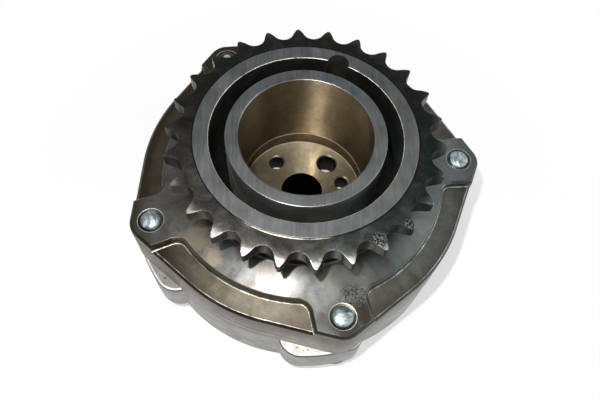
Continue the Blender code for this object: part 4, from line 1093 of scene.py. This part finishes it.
# each finish: what makes it, the values it starts from, and those it changes
surfaces = {
    "groundCollar": (groundFace, groundSteel, {}),
    # painted highlight on the front teeth's tips, and painted shade in the corner at the collar's foot
    "toothFace": (sinteredFace, hardSteel, {
        "tipWear": 0.5, "rootDark": 0.9, "level": 0.19, "pitted": ((31.8, -20.6, 2.2), (37.4, -12.1, 1.4))}),
    # painted highlight: the teeth's rounded edges and sloping tips are a paler copy of the tooth steel
    "toothEdge": (sinteredFace, hardSteel, {
        "wear": 0.5, "level": 0.45, "cloud": 0.7, "stops": tones(
            (0.03, 0.028, 0.026), (0.12, 0.115, 0.11), (0.5, 0.48, 0.45), (0.75, 0.73, 0.7),
            at=(0.15, 0.6, 0.9, 1.0))}),
    # painted shade: the walls between the teeth are a near black copy of the tooth steel
    "toothWall": (sinteredFace, hardSteel, {
        "wear": 0.25, "cloud": 3.0, "level": 0.05, "roughness": 0.34, "stops": tones(
            (0.006, 0.005, 0.004), (0.014, 0.012, 0.0095), (0.036, 0.03, 0.024), (0.12, 0.105, 0.09),
            at=(0.15, 0.45, 0.7, 1.0))}),
    # painted shade under the wheel
    "underWheel": (sinteredFace, dullSteel, {
        "level": 0.4,
        "stops": tones((0.012, 0.01, 0.008), (0.03, 0.025, 0.02), (0.06, 0.05, 0.042), at=darkAt)}),
    # painted highlight on the collar's rounded foot toward the front, painted shade round the rest of it
    "collarFoot": (sinteredFace, hardSteel, {
        "cloud": 4.0, "wornToward": -73.0, "wornReach": (27.0, 34.0), "wear": 0.62, "level": 0.12,
        "roughness": 0.35, "stops": tones(
            (0.02, 0.018, 0.016), (0.06, 0.054, 0.045), (0.6, 0.5, 0.38), (0.95, 0.85, 0.7),
            at=(0.15, 0.4, 0.7, 1.0))}),
    # painted shade under the wheel and toward the left, and darker toward the rim
    "plateFace": (turnedFace, turnedSteel, {
        "dirtReach": (33.4, 39.4), "grain": (0.3, 16.0, 3.0), "patches": 1.0, "roughness": 0.49,
        "spots": plateSpots, "pitted": ((31.8, -31.8, 4.2),), "dimShare": 0.85, "dimReach": (2.0, 50.0),
        "dim": (0.075, 0.06, 0.038), "rimDim": 0.55, "rimReach": (45.5, 54.5), "warmShare": 0.25,
        "rings": 0.24, "cool": (0.27, 0.34, 0.34),
        "stops": tones((0.18, 0.175, 0.165), (0.4, 0.397, 0.38), (0.6, 0.6, 0.59))}),
    # painted shade toward the left, and darker toward the rim
    "pocketFloor": (turnedFace, turnedSteel, {
        "grain": (0.35, 8.0, 3.0), "spread": 0.5, "roughness": 0.5, "depth": 0.008, "rings": 0.2,
        "coolShare": 0.4, "warm": (0.2, 0.155, 0.1), "patches": 0.7, "dimShare": 0.75,
        "dimReach": (-20.0, 34.0), "rimDim": 0.7, "dim": (0.055, 0.043, 0.03),
        "stops": tones((0.085, 0.074, 0.055), (0.16, 0.145, 0.115), (0.27, 0.25, 0.205))}),
    # painted shade toward the left, and the painted moulding line
    "plateSide": (turnedFace, turnedSteel, {
        "grain": (3.0, 26.0, 0.3), "spread": 0.5, "roughness": 0.4, "warmShare": 0.35, "coolShare": 0.3,
        "patches": 0.5, "dimShare": 0.8, "dimReach": (-5.0, 48.0), "dim": (0.055, 0.04, 0.026),
        "seam": mouldingLine,
        "stops": tones((0.09, 0.08, 0.068), (0.185, 0.17, 0.15), (0.33, 0.31, 0.285))}),
    # painted shade: the plate's outer chamfer is painted near black
    "chamfer": (turnedFace, plainSteel, {
        "grain": (0.5, 20.0, 0.5), "roughness": 0.34, "coolShare": 0.5,
        "stops": tones((0.016, 0.014, 0.01), (0.035, 0.031, 0.023), (0.07, 0.064, 0.05))}),
    "pocketWall": (turnedFace, plainSteel, {
        "grain": (0.5, 20.0, 0.5), "roughness": 0.4, "coolShare": 0.5,
        "stops": tones((0.045, 0.042, 0.03), (0.08, 0.075, 0.056), (0.14, 0.13, 0.1))}),
    # painted highlight along the pocket's outer edge and foot, with painted shade toward the left
    "brightEdge": (turnedFace, plainSteel, {
        "grain": (0.5, 3.0, 0.5), "rings": 1.2, "roughness": 0.4, "coolShare": 0.4, "dimShare": 0.8,
        "dimReach": (15.0, 45.0),
        "stops": tones((0.06, 0.055, 0.043), (0.27, 0.255, 0.22), (0.66, 0.64, 0.58), at=(0.2, 0.5, 0.8))}),
    # painted highlight on the rims of the bolts and their sinks
    "boltRim": (turnedFace, plainSteel, {
        "grain": (0.5, 3.0, 0.5), "rings": 0.8, "roughness": 0.35,
        "stops": tones((0.25, 0.27, 0.27), (0.6, 0.63, 0.62), (0.85, 0.87, 0.85), at=(0.2, 0.5, 0.8))}),
    "boltSink": (sinteredFace, dullSteel, {
        "level": 0.4, "cloud": 1.6, "metallic": 0.35, "roughness": 0.45,
        "stops": tones((0.05, 0.038, 0.026), (0.13, 0.1, 0.072), (0.32, 0.28, 0.22), at=darkAt)}),
    "castGrey": (castFace, castMetal, {}),
    # painted highlight on the rounded top edge of the bosses
    "castRim": (castFace, castMetal, {
        "pit": 0.02, "residue": 0.3,
        "stops": tones((0.4, 0.39, 0.37), (0.72, 0.71, 0.68), (0.92, 0.91, 0.88))}),
    # painted shade on the lower part of that edge
    "castShade": (castFace, castMetal, {
        "stops": tones((0.06, 0.056, 0.05), (0.13, 0.124, 0.115), (0.24, 0.232, 0.22))}),
    # painted shade under the band's rounded lower edge, with dark residue
    "castSeam": (castFace, castMetal, {
        "residue": 0.8, "stops": tones((0.03, 0.026, 0.022), (0.09, 0.082, 0.072), (0.26, 0.25, 0.23))}),
    # painted shade in the corner where the tops meet the band, and toward the left
    "castTop": (castFace, castMetal, {
        "pit": 0.13, "pitColor": (0.12, 0.11, 0.09), "residue": 0.6, "corner": 0.8, "dimShare": 0.6,
        "stops": tones((0.2, 0.195, 0.18), (0.46, 0.445, 0.415), (0.8, 0.78, 0.74))}),
    # painted shade: the bore wall is darker but on its far side, with a darker patch on the right
    "boreWall": (turnedFace, turnedSteel, {
        "grain": (3.0, 60.0, 0.3), "spread": 1.0, "roughness": 0.34, "depth": 0.002,
        "dimToward": 258.0, "dimReach": (-18.9, -5.0), "dimShare": 0.66, "dim": (0.075, 0.056, 0.032),
        "spots": ((18.5, 6.0, 7.0, 2.5, 0.6, (0.08, 0.062, 0.04)),),
        "coolShare": 0.0, "warm": (0.3, 0.21, 0.12), "warmShare": 0.4,
        "stops": tones((0.17, 0.125, 0.075), (0.3, 0.235, 0.155), (0.45, 0.37, 0.265))}),
    "boreFloor": (turnedFace, turnedSteel, {
        "grain": (0.25, 30.0, 3.0), "spread": 0.6, "roughness": 0.47, "patches": 0.4,
        "coolShare": 0.0, "warm": (0.38, 0.31, 0.19), "warmShare": 0.4,
        "stops": tones((0.2, 0.165, 0.105), (0.36, 0.31, 0.215), (0.55, 0.49, 0.37))}),
    "boreRelief": (turnedFace, plainSteel, {
        "grain": (0.5, 20.0, 0.5), "roughness": 0.5, "warmShare": 0.3, "warm": (0.13, 0.085, 0.045),
        "stops": tones((0.07, 0.052, 0.03), (0.14, 0.11, 0.07), (0.22, 0.18, 0.12))}),
    # painted highlight on the bore's relief lip and the floor's edge
    "boreEdge": (turnedFace, plainSteel, {
        "grain": (0.5, 20.0, 0.5), "roughness": 0.6,
        "stops": tones((0.5, 0.45, 0.35), (0.75, 0.69, 0.58), (0.9, 0.86, 0.76))}),
    # painted shade inside the holes
    "holeDark": (sinteredFace, dullSteel, {
        "level": 0.3, "roughness": 0.6,
        "stops": tones((0.005, 0.004, 0.003), (0.01, 0.0085, 0.006), (0.02, 0.017, 0.013), at=darkAt)}),
    # painted highlight: the holes' floors are painted pale
    "holeFloor": (sinteredFace, dullSteel, {
        "level": 0.5, "roughness": 0.5, "metallic": 0.3,
        "stops": tones((0.5, 0.48, 0.43), (0.78, 0.76, 0.7), (0.92, 0.9, 0.86), at=darkAt)}),
    # with the painted reflection, bluer and paler toward the right
    "collarWall": (sinteredFace, dullSteel, {
        "coolShare": 1.0, "level": 0.5, "cloud": 9.0, "roughness": 0.45, "depth": 0.01,
        "stops": tones((0.06, 0.06, 0.052), (0.11, 0.112, 0.098), (0.2, 0.2, 0.18), at=darkAt)}),
    # painted highlight on the collar's inner rounded edge
    "ringEdge": (turnedFace, plainSteel, {
        "grain": (0.5, 2.2, 0.5), "rings": 1.4, "roughness": 0.5,
        "stops": tones((0.2, 0.185, 0.15), (0.72, 0.68, 0.58), (0.95, 0.91, 0.82), at=(0.25, 0.5, 0.8))}),
    "notchWall": (sinteredFace, dullSteel, {
        "level": 0.3, "roughness": 0.6, "metallic": 0.2,
        "stops": tones((0.014, 0.011, 0.008), (0.036, 0.03, 0.023), (0.08, 0.067, 0.052), at=darkAt)}),
    # a little painted light toward the front
    "darkSteel": (sinteredFace, hardSteel, {
        "wear": 0.1, "level": 0.35, "cloud": 6.0, "roughness": 0.36, "depth": 0.01,
        "stops": tones((0.03, 0.028, 0.024), (0.075, 0.07, 0.06), (0.15, 0.14, 0.12), at=darkAt)}),
    # with the painted reflection, bluer and paler toward the right
    "grooveSteel": (sinteredFace, dullSteel, {
        "coolShare": 1.0, "level": 0.5, "cloud": 9.0, "roughness": 0.5, "depth": 0.01,
        "stops": tones((0.2, 0.21, 0.18), (0.34, 0.35, 0.31), (0.5, 0.5, 0.45), at=darkAt)}),
    "zincPlate": (turnedFace, plainSteel, {
        "grain": (0.9, 1.6, 0.9), "rings": 1.9, "roughness": 0.52, "depth": 0.05,
        "stops": tones((0.12, 0.16, 0.17), (0.3, 0.37, 0.38), (0.66, 0.73, 0.72))}),
    "sealPolymer": (mouldedFace, {}, {
        "flowSize": (1.5, 1.5, 7.0), "grainSize": 0.25, "rubSize": 2.2, "rubbed": (0.08, 0.079, 0.077),
        "roughness": 0.5, "depth": 0.02,
        "stops": tones((0.018, 0.018, 0.019), (0.045, 0.044, 0.043), at=(0.2, 0.8))}),
    "springStrip": (turnedFace, turnedSteel, {
        "grain": (0.4, 6.0, 0.3), "spread": 0.3, "roughness": 0.33, "coolShare": 0.0, "warmShare": 0.3,
        "stops": tones((0.26, 0.255, 0.25), (0.44, 0.44, 0.44), (0.6, 0.6, 0.6))}),
    "groundPin": (groundFace, groundSteel, {
        "pale": 0.0, "spots": (), "roughness": 0.28,
        "stops": tones((0.28, 0.28, 0.28), (0.46, 0.46, 0.46), (0.62, 0.62, 0.62))}),
}
finishes = {name: make(name, {**base, **changes}) for name, (make, base, changes) in surfaces.items()}
print("finishes:", len(finishes))


# Which finish a face has, from the radius, place and normal of its middle. A face counts as lying at a
# height or radius within these millimetres, and as sloping by how far its normal stands up.
hair, fine, close, near, wide = 0.01, 0.02, 0.1, 0.2, 0.5
plumb, upright, leaning, shallow, level = 0.2, 0.25, 0.5, 0.93, 0.999


def coverRule(r, at, normal):
    bore, ring, mouth = cover["collarBore"], cover["collarRadius"], cover["collarInnerEdge"]
    neck, plateTop, floor = cover["neckRadius"], phaser["plateTop"], phaser["pocketFloor"]
    if at.z > phaser["plateBottom"] + near and r < ring - near and normal.z < leaning:
        return "collarWall" if r < bore + close else "notchWall"
    if at.z > phaser["collarTop"] - mouth - fine and r < ring + fine:
        # painted highlight on the collar's inner rounded edge
        return "ringEdge" if r < bore + mouth + near and upright < normal.z < shallow else "groundCollar"
    # painted highlight and painted shade on the collar's foot
    if at.z > phaser["wheelTop"] + hair and r < ring + cover["collarFoot"]:
        return "collarFoot"
    # the wheel: flat faces, painted highlight on its edges and slopes, painted shade on its walls
    if at.z > phaser["wheelBottom"] - near and r > neck - cover["neckFillet"]:
        if normal.z > shallow:
            return "toothFace"
        return "toothEdge" if normal.z > upright else "toothWall"
    # painted shade under the wheel, on the neck
    if r < neck + cover["neckFillet"] + near and at.z > plateTop - fine and normal.z < level:
        return "underWheel" if normal.z < leaning else "plateFace"
    sinkReach = cover["threadRadius"] + cover["sink"] + wide
    bolts = [polar(phaser["boltCircle"], angle) for angle in phaser["earAngles"]]
    # round the bolts: painted highlight on the sinks' rims
    if normal.z < level and any((at.xy - place).length < sinkReach for place in bolts):
        return "boltRim" if normal.z > leaning else "boltSink"
    if at.z > plateTop - fine:
        return "plateFace"
    if abs(at.z - floor) < fine and normal.z > level:
        return "pocketFloor"
    slope = phaser["plateRadius"] - cover["plateChamfer"] - wide
    lowEdge = abs(at.z - floor) < near and normal.z > leaning and r > slope
    inFoot = floor < at.z < floor + cover["footFillet"] and normal.z > 0.08
    # painted highlight along the pocket's edge and foot
    if lowEdge or inFoot:
        return "brightEdge"
    if r < slope and floor < at.z < plateTop:
        return "pocketWall"
    if abs(normal.z) < plumb and r > phaser["plateRadius"] - near:
        return "plateSide"
    # the plate's outer chamfer, with painted shade
    return "chamfer"


def housingRule(r, at, normal):
    if at.z > phaser["plateBottom"] - near or r < phaser["chamberRadius"] + near:
        return "plateSide"
    if at.z > housing["bossTop"] + housing["bandEdge"] and abs(normal.z) < upright:
        return "plateSide"
    # round the boss tops: painted shade under the band's edge, painted highlight and painted shade on the
    # rounded edge
    if abs(at.z - housing["bossTop"]) < 1.0 and r > phaser["plateRadius"] - 0.6 and abs(normal.z) > 0.05:
        if normal.z < 0.0:
            return "castSeam"
        if normal.z < 0.75:
            return "castShade"
        return "castTop" if normal.z > 0.99 else "castRim"
    return "castGrey"


def rotorRule(r, at, normal):
    bore, relief = phaser["boreRadius"], rotor["reliefTop"]
    beyond = bore + rotor["relief"] + near
    if r > beyond and at.z < phaser["collarTop"] - wide:
        return "grooveSteel" if at.z > phaser["rotorTop"] - near else "darkSteel"
    # the holes: painted highlight on their floors, painted shade on their walls
    if at.z < rotor["boreFloor"] - 0.6:
        return "holeFloor" if normal.z > shallow and at.z > phaser["rotorBottom"] + 2.0 else "holeDark"
    if at.z > phaser["collarTop"] - wide and (normal.z > upright or r > beyond):
        return "groundCollar"
    if bore - wide < r < beyond and normal.z < 0.7:
        # painted highlight on the relief's lip and the floor's edge
        atLip = abs(at.z - relief - rotor["relief"]) < 2 * rotor["lip"] + 0.05
        if atLip or at.z < rotor["boreFloor"] + 0.25:
            return "boreEdge"
        return "boreWall" if at.z > relief + near else "boreRelief"
    return "boreFloor" if r < beyond else "darkSteel"


# painted reflection: the end of one bolt is painted dark but for a painted highlight in its middle, and the
# rims of the bolts' ends are painted highlight
def boltRule(r, at, normal):
    off = (at.xy - polar(phaser["boltCircle"], bolt["darkAngle"])).length
    if at.z > phaser["plateTop"] - near:
        if off < bolt["radius"] + near:
            return "boltRim" if off < bolt["darkMiddle"] else "darkSteel"
        if normal.z < leaning:
            return "boltRim"
    return "zincPlate"


def finishPiece(piece, rule, names, body, replaced):
    shadeCleanly(piece)
    dress(piece, rule, {name: finishes[name] for name in names})
    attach(piece, body)
    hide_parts(replaced)
    print(replaced, "is", len(piece.data.polygons), "faces")


finishPiece(makeCover(cover), coverRule,
            ("groundCollar", "ringEdge", "collarWall", "collarFoot", "toothFace", "toothEdge", "toothWall",
             "underWheel", "plateFace", "pocketFloor", "plateSide", "chamfer", "pocketWall", "brightEdge",
             "boltRim", "boltSink", "notchWall"),
            "housing", "sprocket_cover")
finishPiece(makeHousing(housing), housingRule,
            ("plateSide", "castGrey", "castTop", "castRim", "castShade", "castSeam"),
            "housing", "stator_housing")
finishPiece(makeRotor(rotor), rotorRule,
            ("groundCollar", "boreWall", "boreFloor", "boreEdge", "boreRelief", "holeDark", "holeFloor",
             "darkSteel", "grooveSteel"),
            "rotor", "vane_rotor")
for number in range(len(phaser["earAngles"])):
    finishPiece(makeBolt(bolt, number), boltRule, ("zincPlate", "boltRim", "darkSteel"),
                "housing", f"cover_bolt_{number + 1}")

# the other pieces inside keep their solids, but for the lock pin's spring, which is made again below
insidePieces = {
    "vane_seal_spring": "springStrip",
    "web_seal_spring": "springStrip",
    "vane_seal": "sealPolymer",
    "web_seal": "sealPolymer",
    "lock_pin_spring": "springStrip",
    "lock_pin": "groundPin",
    "lock_bush": "groundPin",
}
for name, node in nodes.items():
    kinds = [kind for kind in insidePieces if name.startswith(kind)]
    for place in node.material_slots if kinds else ():
        place.material = finishes[insidePieces[kinds[0]]]
print("inside pieces finished")


# a coil with ground ends; its place and length are its solid's
pinSpring = {
    "wire": 0.55,
    "turns": 8.0,
    "endTurns": 1.0,
    "endRise": 0.3025,
    "steps": 32,
    "sides": 14,
    "slopeStep": 0.01,
    "travel": 1.5,
}


def makePinSpring(spec, low, high):
    wire = spec["wire"] / 2
    middle = (low + high) / 2
    coil = (high.x - low.x) / 2 - wire
    count, sides, near = int(spec["turns"] * spec["steps"]), spec["sides"], spec["slopeStep"]
    # the height of the wire's middle: close turns at both ends and open ones between
    closed, closeRise = spec["endTurns"], spec["endRise"]
    openRise = (high.z - low.z - 2 * closeRise) / (spec["turns"] - 2 * closed)

    def height(turn):
        if turn < closed:
            return low.z + turn / closed * closeRise
        if turn > spec["turns"] - closed:
            return high.z - (spec["turns"] - turn) / closed * closeRise
        return low.z + closeRise + (turn - closed) * openRise

    points, faces = [], []
    for step in range(count + 1):
        turn = step / spec["steps"]
        outward = polar(1.0, 360.0 * turn).to_3d()
        along = Vector((-outward.y, outward.x, 0.0)) * math.tau * coil
        along.z = height(turn + near) / (2 * near) - height(turn - near) / (2 * near)
        upward = outward.cross(along).normalized()
        center = Vector((middle.x, middle.y, height(turn))) + outward * coil
        for side in range(sides):
            angle = math.tau * side / sides
            point = center + outward * wire * math.cos(angle) + upward * wire * math.sin(angle)
            point.z = min(max(point.z, low.z), high.z)
            points.append(point)
    for step in range(count):
        first, second = step * sides, (step + 1) * sides
        for side in range(sides):
            after = (side + 1) % sides
            faces.append((first + side, first + after, second + after, second + side))
    faces.append(tuple(range(sides)))
    faces.append(tuple(range(count * sides, (count + 1) * sides)))
    made = meshPiece("pinSpring", points, faces)
    made.data.materials.append(finishes["springStrip"])
    return made


springLow, springHigh = (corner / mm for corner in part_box("lock_pin_spring"))
coilSpring = makePinSpring(pinSpring, springLow, springHigh)
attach(coilSpring, "rotor")
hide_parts("lock_pin_spring")
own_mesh(coilSpring)
print("the lock pin's spring has", len(coilSpring.data.polygons), "faces")


camera = {
    "place": (0.03707, -0.08920, 0.19834),
    "look": (-0.17919, 0.42756, -0.88605),
    "right": (0.89053, 0.45327, 0.03862),
    "lens": 36.0,
    "sensor": 36.0,
    "clip": (0.01, 10.0),
}


def makeCamera(spec):
    look = Vector(spec["look"]).normalized()
    right = Vector(spec["right"])
    right = (right - look * right.dot(look)).normalized()
    lens = bpy.data.cameras.new("camera")
    lens.lens = spec["lens"]
    lens.sensor_width = spec["sensor"]
    lens.clip_start, lens.clip_end = spec["clip"]
    made = bpy.data.objects.new("camera", lens)
    turn = Matrix((right, right.cross(look), -look)).transposed()
    made.matrix_world = Matrix.Translation(spec["place"]) @ turn.to_4x4()
    bpy.context.collection.objects.link(made)
    bpy.context.scene.camera = made


studio = {
    "floorHalf": 1.5,
    "floorDrop": 0.0002,
    "seenBy": ("Camera", "Glossy", "Transmission"),
    "floor": (0.86, 0.86, 0.85),
    "shadowUnderPart": (0.02, 0.02, 0.02),
    # radii in metres over which the painted shadow under the part gives way to the floor's colour, its glow
    # starts and its glow becomes full
    "paleReach": (0.012, 0.04),
    "glowReach": (0.02, 0.045),
    "whiteReach": (0.05, 0.12),
    # light from all round, by height: pale at the horizon, dimmer overhead
    "sky": tones((0.9, 0.9, 0.9), (0.9, 0.9, 0.9), (0.62, 0.63, 0.63), (0.4, 0.41, 0.41), (0.36, 0.37, 0.37),
                 at=(0.0, 0.5, 0.72, 0.9, 1.0)),
    "lamps": (
        # place, aimed at, width, height, watts
        ((0.005, -0.093, 0.259), (0.0, 0.0, 0.035), 0.007, 0.007, 0.62),
        ((0.55, 0.25, 0.28), (0.0, 0.0, 0.02), 0.35, 0.3, 0.9),
    ),
}


def makeStudio(spec):
    half = spec["floorHalf"]
    mesh = bpy.data.meshes.new("floor")
    corners = [(x * half, y * half, 0.0) for x, y in ((-1, -1), (1, -1), (1, 1), (-1, 1))]
    mesh.from_pydata(corners, [], [(0, 1, 2, 3)])
    floor = newPiece("floor", mesh)
    floor.location.z = -spec["floorDrop"]
    made = Finish("paleFloor")
    rays = made.add("LightPath").outputs
    direct, glossy, through = (Field(made, rays[f"Is {kind} Ray"]) for kind in spec["seenBy"])
    seen = direct + glossy + through
    # painted shadow: near black right under the part, paling into the floor
    under = made.radius.between(*spec["paleReach"])
    matt = made.add("BsdfDiffuse", {}, {"Color": made.blend(under, spec["shadowUnderPart"], spec["floor"])})
    white = made.add("Emission", {}, {"Color": (1.0, 1.0, 1.0), "Strength": 1.0})
    away = made.radius.between(*spec["whiteReach"], 0.5, 1.0) * made.radius.between(*spec["glowReach"])
    mixed = made.add("MixShader", {}, {0: seen * away, 1: matt.outputs[0], 2: white.outputs[0]})
    made.add("OutputMaterial", {}, {0: mixed.outputs[0]})
    mesh.materials.append(made.owner)
    world = bpy.data.worlds.new("studio")
    bpy.context.scene.world = world
    around = Nodes(world)
    toward = around.add("TexCoord").outputs["Generated"]
    height = around.field("SeparateXYZ", {}, {0: toward}, 2) * 0.5 + 0.5
    sky = around.add("Background", {}, {"Color": around.ramp(height, *spec["sky"]), "Strength": 1.0})
    white = around.add("Background", {}, {"Color": (1.0, 1.0, 1.0), "Strength": 1.0})
    seen = around.add("LightPath").outputs["Is Camera Ray"]
    mixed = around.add("MixShader", {}, {0: seen, 1: sky.outputs[0], 2: white.outputs[0]})
    around.add("OutputWorld", {}, {0: mixed.outputs[0]})
    for number, (place, target, width, height, watts) in enumerate(spec["lamps"]):
        lamp = bpy.data.lights.new(f"softbox{number}", "AREA")
        lamp.shape = "RECTANGLE"
        lamp.size, lamp.size_y = width, height
        lamp.energy = watts
        made = bpy.data.objects.new(f"softbox{number}", lamp)
        made.location = place
        made.rotation_euler = (Vector(target) - Vector(place)).to_track_quat("-Z", "Y").to_euler()
        bpy.context.collection.objects.link(made)


makeCamera(camera)
makeStudio(studio)
bpy.context.scene.view_settings.view_transform = "Standard"
print("camera and studio set")
